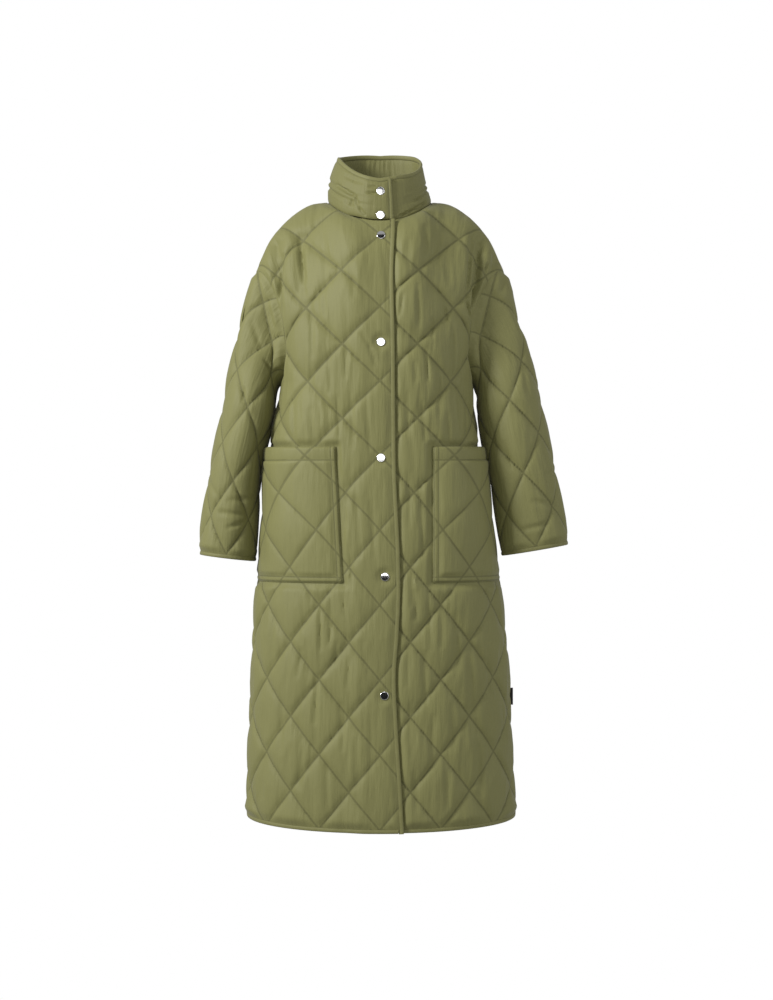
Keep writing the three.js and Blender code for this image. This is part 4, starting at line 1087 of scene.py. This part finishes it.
def pocket_edge(side, v):
    """Where a pocket's inner edge runs, as u at heights of the cloth."""
    top, foot = POCKET_EDGE[side]
    return foot + (top - foot) * (v - POCKET_FOOT_V) / (POCKET_TOP_V - POCKET_FOOT_V)


def pocket_material(side):
    """Pocket cloth, with the stitching of its inner edge, foot and top band."""
    start = pocket_edge(side, 0)
    slope = pocket_edge(side, 1) - start
    lines = [(1, -slope, start + inset) for inset in POCKET_STITCHES["edge"]]
    lines += [(0, 1, POCKET_FOOT_V + inset) for inset in POCKET_STITCHES["foot"]]
    lines.append((0, 1, POCKET_TOP_V - POCKET_BAND))
    return cloth_material("pocket cloth", OLIVE, FRONT_LATTICE, lines)


# Creases in the photograph's pixels, as x0, y0, x1, y1, then their width and depth in millimetres.
# The depths are all pressed in by one more share.
CREASE_DEPTH = 1.7

RIGHT_FRONT_CREASES = (
    (361, 330, 373, 350, 4, 2.2),
    (369, 345, 377, 368, 4, 2.4),
    (382, 240, 390, 300, 4, 1.6),
    (346, 340, 347, 380, 5, 1.8),
    (352, 262, 355, 300, 6, 1.2),
    (330, 352, 331, 396, 5, 1.8),
    (337, 395, 340, 440, 5, 2.0),
    (352, 390, 356, 450, 5, 1.6),
    (366, 395, 370, 452, 5, 1.8),
    (312, 300, 316, 360, 7, 1.8),
    (300, 236, 305, 286, 6, 3.6),
    (285, 255, 272, 310, 6, 4.4),
    (283, 330, 281, 420, 8, 1.8),
    (296, 395, 297, 444, 6, 1.6),
    (313, 405, 315, 445, 6, 1.6),
    (345, 470, 348, 530, 5, 1.8),
    (357, 480, 360, 560, 5, 2.0),
    (371, 500, 374, 560, 5, 1.8),
    (350, 545, 353, 590, 4, 1.8),
    (321, 608, 323, 652, 5, 2.6),
    (331, 588, 332, 622, 4, 1.8),
    (331, 622, 331, 648, 4, 1.8),
    (342, 592, 347, 620, 4, 1.6),
    (302, 648, 300, 680, 5, 1.8),
    (318, 672, 317, 725, 5, 2.2),
    (364, 640, 366, 668, 5, 1.6),
    (338, 640, 336, 668, 4, 1.6),
    (352, 655, 349, 690, 4, 1.4),
    (276, 610, 275, 668, 7, 1.6),
    (342, 700, 343, 752, 6, 1.8),
    (357, 735, 359, 800, 6, 1.6),
    (303, 735, 302, 790, 7, 1.8),
    (283, 700, 283, 756, 7, 1.4),
    (327, 762, 328, 812, 7, 1.6),
    (371, 712, 372, 760, 5, 1.4),
    (266, 740, 266, 800, 8, 1.4),
)
LEFT_FRONT_CREASES = (
    (472, 232, 464, 300, 6, 5.0),
    (464, 300, 468, 320, 5, 4.5),
    (482, 245, 478, 286, 5, 5.0),
    (478, 286, 468, 312, 5, 4.5),
    (487, 262, 484, 277, 4, 3.5),
    (421, 226, 424, 262, 6, 1.6),
    (436, 232, 437, 268, 6, 1.6),
    (408, 240, 409, 280, 6, 1.2),
    (403, 292, 400, 318, 4, 1.6),
    (416, 284, 417, 330, 5, 1.6),
    (443, 306, 445, 322, 4, 2.2),
    (430, 318, 431, 340, 4, 1.6),
    (424, 346, 426, 384, 4, 2.2),
    (414, 360, 415, 385, 5, 1.4),
    (436, 372, 438, 420, 5, 1.6),
    (450, 330, 452, 400, 7, 1.8),
    (407, 390, 408, 440, 5, 1.4),
    (421, 400, 424, 445, 5, 1.8),
    (445, 412, 446, 446, 6, 1.6),
    (462, 400, 463, 444, 6, 1.4),
    (409, 470, 410, 530, 5, 1.4),
    (419, 478, 421, 560, 5, 1.8),
    (430, 480, 429, 520, 4, 1.4),
    (412, 560, 411, 610, 5, 1.6),
    (415, 590, 414, 622, 6, 2.4),
    (428, 590, 430, 652, 5, 1.8),
    (408, 640, 407, 690, 5, 1.6),
    (424, 650, 423, 705, 6, 1.8),
    (440, 600, 441, 650, 6, 1.6),
    (455, 610, 455, 670, 7, 1.6),
    (410, 700, 412, 760, 6, 1.6),
    (431, 712, 432, 770, 7, 1.8),
    (450, 700, 451, 752, 7, 1.4),
    (468, 640, 470, 720, 8, 1.4),
    (484, 610, 486, 700, 8, 1.4),
    (415, 770, 416, 815, 6, 1.4),
    (446, 768, 447, 812, 7, 1.4),
    (476, 742, 477, 800, 8, 1.4),
)
RIGHT_SLEEVE_CREASES = (
    (262, 262, 272, 286, 7, 2.6),
    (268, 300, 276, 330, 6, 1.6),
    (243, 330, 240, 352, 7, 1.2),
    (228, 500, 252, 497, 6, 1.6),
    (220, 512, 246, 515, 6, 1.8),
    (226, 528, 246, 520, 5, 2.0),
    (214, 470, 222, 500, 7, 1.2),
    (246, 388, 243, 404, 5, 1.6),
    (252, 320, 262, 352, 7, 1.2),
    (262, 360, 270, 376, 5, 1.6),
)
LEFT_SLEEVE_CREASES = (
    (510, 262, 500, 296, 7, 2.2),
    (522, 290, 520, 330, 8, 1.6),
    (532, 340, 538, 380, 8, 1.4),
    (520, 362, 524, 396, 7, 1.4),
    (541, 476, 566, 470, 7, 1.4),
    (530, 500, 556, 508, 7, 1.6),
    (520, 530, 548, 524, 6, 1.6),
    (505, 440, 512, 470, 7, 1.4),
    (548, 400, 554, 430, 8, 1.2),
)
COLLAR_CREASES = (
    (338, 185, 356, 196, 3.1, 4.2),
    (356, 196, 359, 206, 3.1, 4.2),
    (359, 206, 366, 217, 3.1, 4.2),
    (397, 217, 411, 210, 3.1, 4.2),
    (409, 211, 425, 203, 3.1, 4.2),
    (346, 202, 357, 207, 2.7, 1.8),
    (354, 200, 352, 206, 2.7, 2.1),
    (366, 193, 377, 194, 2.7, 2.4),
    (368, 187, 377, 187, 2.7, 1.8),
    (372, 199, 395, 201, 3.6, 1.8),
    (376, 207, 396, 206, 3.6, 2.1),
    (345, 176, 366, 184, 4.5, 1.2),
    (404, 190, 420, 188, 5.4, 1.2),
    (403, 200, 420, 199, 5.4, 1.2),
)
# Where the collar's right end stops in the photograph, with its left end showing beyond
COLLAR_EDGE_PX = 397


# Pieces

SIDE_NAME = {RIGHT: "right", LEFT: "left"}
# Where the padding thins, as distances: by how much, and between which two it comes back to full
PLACKET_THIN = {"by": 0.4, "from": 16, "to": 42}
SIDE_THIN = {"by": 0.2, "from": 20, "to": 60, "below": 40}
TOP_THIN = {"by": 0.65, "from": 6, "to": 70}
SNAP_CLEAR = 12.0
UNDER_EDGE = 4.0
POCKET_CLEAR = {"from": 2, "to": 14, "top": 12}
SLEEVE_THIN = {"all": 0.85, "by": 0.3, "from": 30, "to": 70}
# Between which heights of the relief the cloth's ridges come up
LIVELY = (0.05, 0.4)
# The edge of a wall: how far in it rounds off, its height at the rim, how far its inner face steps in, and
# how far from the edge the padding and the folds are full
EDGE = {"round": 7, "rim": 0.75, "inside": 6, "step": 0.5, "padding": 16, "fold": 20}
COLLAR_EDGE = {"round": 6, "rim": 0.45, "padding": 8}
SLEEVE_PADDING = {"padding": 14, "sides": 0.45}
# The bend below the neck's corner: between which u it is eased, how far below the top, how much and how often
CHEST_EASE = {"from": (45, 75), "to": (112, 150), "below": 70, "beside": 60, "share": 0.5, "rounds": 50}
# Creases drawn at random where the photograph shows nothing: how many, and the ranges they are drawn from
BACK_CREASES = {
    "count": 70,
    "u": (-260, 260),
    "v": (40, 1000),
    "long": (35, 110),
    "lean": (-7, 7),
    "deep": (1.2, 2.4),
    "width": (4, 8),
    "level": False,
}
SLEEVE_CREASES = {
    "count": 16,
    "u": (SLEEVE_FLAT * 0.52, SLEEVE_FLAT * 0.95),
    "v": (30, 430),
    "long": (25, 70),
    "lean": (-14, 14),
    "deep": (1, 2),
    "width": (5, 8),
    "level": True,
}


def front_shape(side, uv, point, creases):
    """Heights of a front's padding."""
    u, v = uv[..., 0], uv[..., 1]
    seed = 11 if side == RIGHT else 23
    relief = FRONT_LATTICE.relief(u, v, seed)
    if side == RIGHT:
        beside = 1 - smooth(PLACKET_THIN["from"], PLACKET_THIN["to"], np.abs(u))
        placket = (1 - PLACKET_THIN["by"] * beside) * around_snaps(u, v)
    else:
        placket = smooth(0, EDGE["padding"], u - edge_drift(v) - OVERLAP - BINDING_WIDTH + UNDER_EDGE)
    shape = PUFF * relief * placket * beside_seam(seam_cut(side, FRONT, v), uv) * near_top(uv)
    lively = smooth(*LIVELY, relief) * placket
    shape += ridges(u, v, seed, "front") * lively
    shape -= CREASE_DEPTH * photo_creases(creases, photo_place(point), u, v) * (0.3 + 0.7 * lively)
    return shape * (1 - behind_pocket(side, u, v))


def behind_pocket(side, u, v):
    """1 where a pocket lies over its front, and 0 away from it."""
    into = [u - pocket_edge(side, v), v - POCKET_FOOT_V]
    beside, above = (smooth(-POCKET_CLEAR["to"], -POCKET_CLEAR["from"], way) for way in into)
    return beside * above * (1 - smooth(POCKET_CLEAR["from"], POCKET_CLEAR["top"], v - POCKET_TOP_V))


def around_snaps(u, v):
    """How full the right front's padding is beside its snaps, which press it flat."""
    full = np.ones_like(u)
    for z, snap_u in FRONT_SNAPS:
        full *= smooth(SNAP_RADIUS, SNAP_RADIUS + SNAP_CLEAR, np.hypot(u + snap_u, v - z + HEM_Z))
    return full


def soften_chest(uv, point):
    """Eases the bend that runs down from the neck's corner, and leaves the top edge as it is."""
    u, v = np.abs(uv[..., 0]), uv[..., 1]
    share = smooth(*CHEST_EASE["from"], u) * (1 - smooth(*CHEST_EASE["to"], u))
    share *= smooth(0, CHEST_EASE["below"], uv[-1:, :, 1] - v)
    share *= smooth(CHEST_V - CHEST_EASE["beside"], CHEST_V + CHEST_EASE["beside"], v)
    share = CHEST_EASE["share"] * share[:, 1:-1, None]
    both = np.concatenate([uv, point], axis=2)
    for _ in range(CHEST_EASE["rounds"]):
        both[:, 1:-1] += share * (both[:, 2:] + both[:, :-2] - 2 * both[:, 1:-1])
    return both[..., :2], both[..., 2:]


def near_top(uv):
    """How full the quilting is below the neck and shoulder seams."""
    below = smooth(TOP_THIN["from"], TOP_THIN["to"], uv[-1:, :, 1] - uv[..., 1])
    return 1 - TOP_THIN["by"] * (1 - below)


def beside_seam(limit, uv):
    """How full the quilting is beside the side seams, which lie at u of limit."""
    near = smooth(limit - SIDE_THIN["to"], limit - SIDE_THIN["from"], np.abs(uv[..., 0]))
    below = 1 - smooth(CHEST_V - SIDE_THIN["below"], CHEST_V + SIDE_THIN["below"], uv[..., 1])
    return 1 - SIDE_THIN["by"] * near * below


def drawn_creases(u, v, ranges, seed):
    """Uneven creases drawn at random, upright or level."""
    rng = np.random.default_rng(seed)
    depth = np.zeros_like(u)
    for _ in range(ranges["count"]):
        u0, v0, long, lean = (rng.uniform(*ranges[name]) for name in ("u", "v", "long", "lean"))
        deep, width = rng.uniform(*ranges["deep"]), rng.uniform(*ranges["width"])
        du, dv = (long, lean) if ranges["level"] else (lean, long)
        depth += crease(u, v, u0, v0, u0 + du, v0 + dv, width, CREASE_DEPTH * deep)
    return depth


def bare_wall(uv, reach=EDGE["round"], rim=EDGE["rim"]):
    """Distances from the cloth's edge, and the heights of a plain wall's two faces, rounded off there."""
    outline = np.concatenate([uv[0], uv[1:, -1], uv[-1, -2::-1], uv[-2:0:-1, 0]])
    distance = outline_distance(uv.reshape(-1, 2), outline).reshape(uv.shape[:2])
    outer = WALL * (rim + (1 - rim) * quarter_round(distance / reach))
    return distance, outer, EDGE["step"] * (1 - smooth(0, EDGE["inside"], distance))


def body_wall(name, uv, point, normal, shape, fold, material):
    """A wall of the body, from the heights of its padding and the depths of its folds."""
    distance, outer, inner = bare_wall(uv)
    fold = fold * smooth(0, EDGE["fold"], distance)
    outer += shape * smooth(0, EDGE["padding"], distance) - fold
    return shell(name, uv, point, normal, outer, inner - fold, material)


def make_front(side):
    from_u = -(OVERLAP + BINDING_WIDTH - TUCK) if side == RIGHT else -UNDERLAP
    uv = grid_between(half_borders(side, FRONT, from_u, drifts=side == RIGHT), CELL)
    surface = body_surface(side, FRONT)
    uv, point = soften_chest(uv, surface.grid(uv))
    creases = RIGHT_FRONT_CREASES if side == RIGHT else LEFT_FRONT_CREASES
    shape = front_shape(side, uv, point, creases)
    fold = fold_depth(side, FRONT, uv[..., 0], uv[..., 1])
    name = SIDE_NAME[side] + "_front_cloth"
    return body_wall(name, uv, point, surface.grid_normals(point), shape, fold, front_cloth)


def make_back():
    surface = BackSurface()
    left_borders = half_borders(LEFT, BACK, 0.0)
    right_borders = half_borders(RIGHT, BACK, 0.0)
    columns, rows = (int(length_of(line) / CELL) for line in left_borders[:2])
    left = coons(*left_borders, columns, rows)
    right = coons(*right_borders, columns, rows) * np.array([-1, 1])
    middle = (left[:, :1] + right[:, :1]) / 2
    uv = np.concatenate([right[:, :0:-1], middle, left[:, 1:]], axis=1)
    uv, point = soften_chest(uv, surface.grid(uv))
    u, v = uv[..., 0], uv[..., 1]
    relief = BACK_LATTICE.relief(u, v, 37)
    limit = np.where(u < 0, seam_cut(RIGHT, BACK, v), seam_cut(LEFT, BACK, v))
    shape = PUFF * relief * beside_seam(limit, uv) * near_top(uv)
    creases = drawn_creases(u, v, BACK_CREASES, 53)
    shape += (ridges(u, v, 41, "back") - creases) * smooth(*LIVELY, relief)
    fold = np.where(u < 0, fold_depth(RIGHT, BACK, -u, v), fold_depth(LEFT, BACK, u, v))
    return body_wall("back_cloth", uv, point, surface.grid_normals(point), shape, fold, back_cloth)


def make_sleeve(side):
    surface = sleeve_surface(side)
    edge_u = np.linspace(GAP / 2, SLEEVE_FLAT - GAP / 2, int(SLEEVE_FLAT / CELL) + 1)
    top = sleeve_top(side, edge_u) + SLEEVE_REACH
    uv = upright_grid(edge_u, TUCK, top, int(top.max() / CELL))
    point = surface.grid(uv)
    normal = surface.grid_normals(point)
    seed = 61 if side == RIGHT else 67
    u, v = uv[..., 0], uv[..., 1]
    relief = SLEEVE_LATTICE.relief(u, v, seed)
    from_inside = smooth(SLEEVE_THIN["from"], SLEEVE_THIN["to"], np.minimum(u, SLEEVE_FLAT - u))
    shape = SLEEVE_THIN["all"] * PUFF * relief * (1 - SLEEVE_THIN["by"] * (1 - from_inside))
    creases = drawn_creases(u, v, SLEEVE_CREASES, seed)
    shape += (ridges(u, v, seed, "sleeve") - creases) * smooth(*LIVELY, relief)
    creases = RIGHT_SLEEVE_CREASES if side == RIGHT else LEFT_SLEEVE_CREASES
    shape -= CREASE_DEPTH * photo_creases(creases, photo_place(point), u, v, normal[..., 1] < 0)
    distance, outer, inner = bare_wall(uv)
    sides = SLEEVE_PADDING["sides"]
    full = sides * smooth(0, SLEEVE_PADDING["padding"], distance)
    full += (1 - sides) * smooth(0, SLEEVE_PADDING["padding"], np.minimum(v - TUCK, top[None] - v))
    name = SIDE_NAME[side] + "_sleeve_cloth"
    return shell(name, uv, point, normal, outer + shape * full, inner, sleeve_cloth)


# The collar: its cell's width and height, its padding, where its back is gathered from, and the rolled seam
# at its foot on the wearer's left
COLLAR_CELL = (2.6, 2.4)
COLLAR_PUFF = 1.6
COLLAR_BACK = (110, 190)
COLLAR_GATHER = {"deep": 1.3, "least": 0.4, "from_edge": 12}
COLLAR_ROLL = {"h": 7, "width": 5, "height": 1.5, "from": (-20, 0), "to": (60, 90)}


def make_collar():
    first = -COLLAR_UNDER_END
    last = COLLAR_LENGTH + COLLAR_OVER_END - TUCK
    edge_u = np.linspace(first, last, int((last - first) / COLLAR_CELL[0]) + 1)
    top = COLLAR_HEIGHT - TUCK
    uv = upright_grid(edge_u, collar_foot(edge_u), top, int(top / COLLAR_CELL[1]))
    point = COLLAR_SURFACE.grid(uv)
    normal = COLLAR_SURFACE.grid_normals(point)
    u, h = uv[..., 0], uv[..., 1]
    behind = smooth(*COLLAR_BACK, u) * smooth(*COLLAR_BACK, COLLAR_LENGTH - u)
    shape = COLLAR_PUFF * np.sin(math.pi * h / COLLAR_HEIGHT) ** 0.5
    shape += ridges(u, h, 71, "collar") * behind
    seen = photo_place(point)
    on_top = np.where(seen[..., 0] < COLLAR_EDGE_PX, u > COLLAR_LENGTH / 2, u < COLLAR_LENGTH / 2)
    shape -= CREASE_DEPTH * photo_creases(COLLAR_CREASES, seen, u, h, on_top & (normal[..., 1] < 0))
    roll = soft_bump(h - COLLAR_ROLL["h"], COLLAR_ROLL["width"]) * smooth(*COLLAR_ROLL["from"], u)
    shape += COLLAR_ROLL["height"] * roll * (1 - smooth(*COLLAR_ROLL["to"], u))
    for snap_h in COLLAR_SNAPS_H:
        from_snap = np.hypot(u - COLLAR_LENGTH - 1, h - snap_h)
        shape *= smooth(SNAP_RADIUS, SNAP_RADIUS + 3, from_snap)
    distance, outer, inner = bare_wall(uv, COLLAR_EDGE["round"], COLLAR_EDGE["rim"])
    outer += shape * smooth(0, COLLAR_EDGE["padding"], distance)
    least = COLLAR_GATHER["least"]
    gather = least + (1 - least) * ridges(u, h, 79, "collar inside")
    inner -= COLLAR_GATHER["deep"] * smooth(0, COLLAR_GATHER["from_edge"], distance) * gather * behind
    return shell("collar_cloth", uv, point, normal, outer, inner, collar_cloth)


def make_pocket(side):
    surface = body_surface(side, FRONT)
    tall = POCKET_TOP_V - POCKET_FOOT_V
    edge_v = np.linspace(POCKET_FOOT_V, POCKET_TOP_V, int(tall / FINE_CELL) + 1)[:, None]
    edge = pocket_edge(side, edge_v)
    seam = seam_cut(side, FRONT, edge_v) - POCKET_FROM_SEAM
    across = np.linspace(0, 1, int((seam - edge).max() / FINE_CELL) + 1)[None]
    u, v = np.broadcast_arrays(edge + (seam - edge) * across, edge_v)
    uv = np.stack([u, v], axis=2)
    up = (v - POCKET_FOOT_V) / tall
    from_edge, from_foot, from_top = u - edge, v - POCKET_FOOT_V, POCKET_TOP_V - v
    belly = POCKET_BELLY * np.sin(math.pi * across) * smooth(0, 0.45, up)
    gape = POCKET_GAPE * smooth(0.35, 1, across) * smooth(0.35, 1, up)
    inner = POCKET_BASE + belly + gape
    seed = 83 if side == RIGHT else 89
    band = 1 - smooth(POCKET_TOP_V - POCKET_BAND - 4, POCKET_TOP_V - POCKET_BAND, v)
    away = smooth(*POCKET_FLAT, from_edge) * smooth(*POCKET_FLAT, from_foot)
    padding = POCKET_PUFF * FRONT_LATTICE.relief(u, v, seed) + ridges(u, v, seed, "pocket")
    shape = padding * band * away
    for distance, middle in ((from_edge, POCKET_WELT["edge"]), (from_foot, POCKET_WELT["foot"])):
        shape += POCKET_WELT["height"] * soft_bump(distance - middle, POCKET_WELT["width"])
    roll = np.sin(math.pi * np.clip(from_top / POCKET_BAND, 0, 1)) ** 0.7
    shape += (1 - band) * (POCKET_TOP_ROLL * roll + POCKET_TOP_RIPPLE * noise(u / 7, v / 30, seed))
    rounded = np.minimum(quarter_round(np.minimum(from_edge, from_foot) / 3), quarter_round(from_top / 2.5))
    wall = POCKET_RIM + (POCKET_WALL - POCKET_RIM) * rounded
    outer = inner + wall + shape * smooth(0, 3, from_top)
    name = SIDE_NAME[side] + "_pocket_cloth"
    point = surface.grid(uv)
    return shell(name, uv, point, surface.grid_normals(point), outer, inner, pocket_material(side))


def make_bindings():
    made = {}

    def add(name, line, surface, seed):
        made[name] = binding(name + "_binding", line, surface, binding_cloth, seed)

    edge_u = OVERLAP + BINDING_WIDTH
    v = np.linspace(float(body_top(RIGHT, FRONT, edge_u)[0]) - GAP / 2, 0, 200)
    line = np.stack([-edge_u - edge_drift(v), v], axis=1)
    add("front_edge", line, body_surface(RIGHT, FRONT), 101)
    right_start = -(OVERLAP - GAP) - float(edge_drift(BINDING_WIDTH))
    for side, from_u in ((RIGHT, right_start), (LEFT, -UNDERLAP)):
        line = hem_and_vent(side, FRONT, from_u)
        add("hem_" + SIDE_NAME[side], line, body_surface(side, FRONT), 103 + side)
    left = hem_and_vent(LEFT, BACK, 0.0)
    right = (hem_and_vent(RIGHT, BACK, 0.0) * np.array([-1, 1]))[::-1]
    add("hem_back", np.concatenate([right[:-1], left]), BackSurface(), 107)
    for side in (RIGHT, LEFT):
        line = [(GAP / 2, 0.0), (SLEEVE_FLAT - GAP / 2, 0.0)]
        add("cuff_" + SIDE_NAME[side], line, sleeve_surface(side), 109 + side)
    last = COLLAR_LENGTH + COLLAR_OVER_END
    angle = np.linspace(0, math.pi / 2, 7)
    bend = 1 - np.stack([np.cos(angle), np.sin(angle)], axis=1)
    corner = [last, COLLAR_HEIGHT] - COLLAR_CORNER * bend
    end = np.linspace((last, float(collar_foot(last))), corner[0], 12)[:-1]
    top = np.linspace(corner[-1], (-COLLAR_UNDER_END, COLLAR_HEIGHT), 120)[1:]
    add("collar", np.concatenate([end, corner, top]), COLLAR_SURFACE, 113)
    return made


SNAP_TURNS = 48
# A snap cap's profile: radius and height, from its foot to its middle
SNAP_PROFILE = (
    (0.0, 0.0),
    (7.15, 0.0),
    (7.45, 0.25),
    (7.5, 0.55),
    (7.42, 0.85),
    (7.2, 1.12),
    (6.85, 1.3),
    (6.5, 1.36),
    (6.2, 1.34),
    (5.9, 1.36),
    (4.6, 1.42),
    (3.0, 1.46),
    (1.5, 1.48),
    (0.0, 1.49),
)


def make_snap(name, surface, u, v):
    """A round cap on the cloth, made by turning its profile."""
    place = surface.point(np.array([u]), np.array([v]))[0]
    out = surface.normal(np.array([u]), np.array([v]))[0]
    side = unit(np.cross((0, 0, 1), out))
    up = np.cross(out, side)
    base = place + out * (WALL + SNAP_STAND)
    angle = np.linspace(0, 2 * math.pi, SNAP_TURNS, endpoint=False)[:, None]
    ring = side * np.cos(angle) + up * np.sin(angle)
    rings = [base + out * height + radius * ring for radius, height in SNAP_PROFILE[1:-1]]
    points = np.concatenate(rings + [[base, base + out * SNAP_PROFILE[-1][1]]])
    faces = list(tube_faces(len(rings), SNAP_TURNS))
    low, high = len(points) - 2, len(points) - 1
    for i in range(SNAP_TURNS):
        following = (i + 1) % SNAP_TURNS
        top = low - SNAP_TURNS
        faces.append([following, i, low])
        faces.append([top + i, top + following, high])
    return make_mesh(name, points, faces, np.zeros((len(points), 2)), steel, sharp_degrees=35)


def make_tab():
    """A short loop of tape, folded in two, in the left side seam."""
    half = float(read_table(BODY, "z", "left", np.array([TAB["z"] - TAB["height"] / 2]))[0]) + WALL + GAP
    rows, turns = 14, 20
    j, i = (index.ravel() for index in np.meshgrid(np.arange(rows + 1), np.arange(turns), indexing="ij"))
    angle = 2 * math.pi * i / turns
    across, through = (np.abs(way) ** 0.7 * np.sign(way) for way in (np.cos(angle), np.sin(angle)))
    x = half + TAB["reach"] / 2 * (1 + across)
    y = TAB["thick"] / 2 * through + 0.25 * np.sin(j * 0.9)
    points = np.stack([x, y, TAB["z"] + TAB["height"] * (j / rows - 0.5)], axis=1)
    faces = list(tube_faces(rows + 1, turns))
    faces.append(np.arange(turns)[::-1])
    faces.append(np.arange(rows * turns, len(points)))
    return make_mesh("side_seam_tab", points, faces, np.stack([i, j * 2.2], axis=1), tab_cloth)


fronts = {side: make_front(side) for side in (RIGHT, LEFT)}
back = make_back()
sleeves = {side: make_sleeve(side) for side in (RIGHT, LEFT)}
collar = make_collar()
pockets = {side: make_pocket(side) for side in (RIGHT, LEFT)}
bindings = make_bindings()
snaps = [
    make_snap(f"snap_cap_{i + 1}", COLLAR_SURFACE, COLLAR_LENGTH + 1, h) for i, h in enumerate(COLLAR_SNAPS_H)
]
right_front = body_surface(RIGHT, FRONT)
for i, (z, u) in enumerate(FRONT_SNAPS):
    snaps.append(make_snap(f"snap_cap_{i + 3}", right_front, -u, z - HEM_Z))
tab = make_tab()

replaced = {"back": back, "collar": collar, "side_tab": tab}
for side, word in SIDE_NAME.items():
    replaced["front_" + word] = fronts[side]
    replaced["sleeve_" + word] = sleeves[side]
    replaced["pocket_" + word] = pockets[side]
replaced.update({"binding_" + name: piece for name, piece in bindings.items()})
replaced.update({f"snap_{i + 1}": snap for i, snap in enumerate(snaps)})
for node_name, piece in replaced.items():
    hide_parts(node_name)


# Studio


def area_light(name, place, target, size, power, colour=(1, 1, 1)):
    light = bpy.data.lights.new(name, "AREA")
    light.shape = "RECTANGLE"
    light.size, light.size_y = size
    light.energy = power
    light.color = colour
    lamp = bpy.data.objects.new(name, light)
    lamp.location = place
    way = np.array(target, float) - np.array(place, float)
    flat = math.hypot(way[0], way[1])
    lamp.rotation_euler = (math.atan2(flat, -way[2]), 0, math.atan2(way[1], way[0]) - math.pi / 2)
    lamp.visible_camera = False
    bpy.context.collection.objects.link(lamp)
    return lamp


def make_studio():
    middle = (0, 0, -0.5)
    area_light("key", (-3.0, -2.0, 1.25), middle, (1.0, 1.3), 146)
    area_light("front", (-0.05, -4.9, 0.75), (-0.05, 0, 0.75), (1.3, 2.7), 32)
    area_light("right", (3.2, -1.6, 0.3), middle, (1.2, 2.4), 26)

    # Black cards behind the camera, which darken what the lowest caps and the third one mirror
    black = card_material()
    for foot, top in ((-2.6, -0.36), (2.12, 4.4)):
        half, y = 1.2, CAMERA[1] * MM - 0.2
        corners = [(-half, y, foot), (half, y, foot), (half, y, top), (-half, y, top)]
        mesh = bpy.data.meshes.new("black_card")
        mesh.from_pydata(corners, [], [(0, 1, 2, 3)])
        mesh.materials.append(black)
        card = bpy.data.objects.new("black_card", mesh)
        card.visible_camera = False
        bpy.context.collection.objects.link(card)

    world = bpy.data.worlds.new("studio")
    world.use_nodes = True
    tree = world.node_tree
    tree.nodes.clear()
    out = tree.nodes.new("ShaderNodeOutputWorld")
    seen, lit = tree.nodes.new("ShaderNodeBackground"), tree.nodes.new("ShaderNodeBackground")
    seen.inputs["Strength"].default_value = 1.0
    lit.inputs["Strength"].default_value = 0.37
    for shader in (seen, lit):
        shader.inputs["Color"].default_value = (1, 1, 1, 1)
    paths = tree.nodes.new("ShaderNodeLightPath")
    mix = tree.nodes.new("ShaderNodeMixShader")
    tree.links.new(paths.outputs["Is Camera Ray"], mix.inputs[0])
    tree.links.new(lit.outputs[0], mix.inputs[1])
    tree.links.new(seen.outputs[0], mix.inputs[2])
    tree.links.new(mix.outputs[0], out.inputs[0])
    bpy.context.scene.world = world
    bpy.context.scene.view_settings.view_transform = "Standard"


def make_camera():
    camera = bpy.data.cameras.new("camera")
    half_view = PHOTO_SIZE[1] * PIXEL / 2
    camera.lens = camera.sensor_width / 2 * -CAMERA[1] / half_view
    camera.clip_end = 100
    eye = bpy.data.objects.new("camera", camera)
    eye.location = [c * MM for c in CAMERA]
    eye.rotation_euler = (math.pi / 2, 0, 0)
    bpy.context.collection.objects.link(eye)
    bpy.context.scene.camera = eye


make_studio()
make_camera()
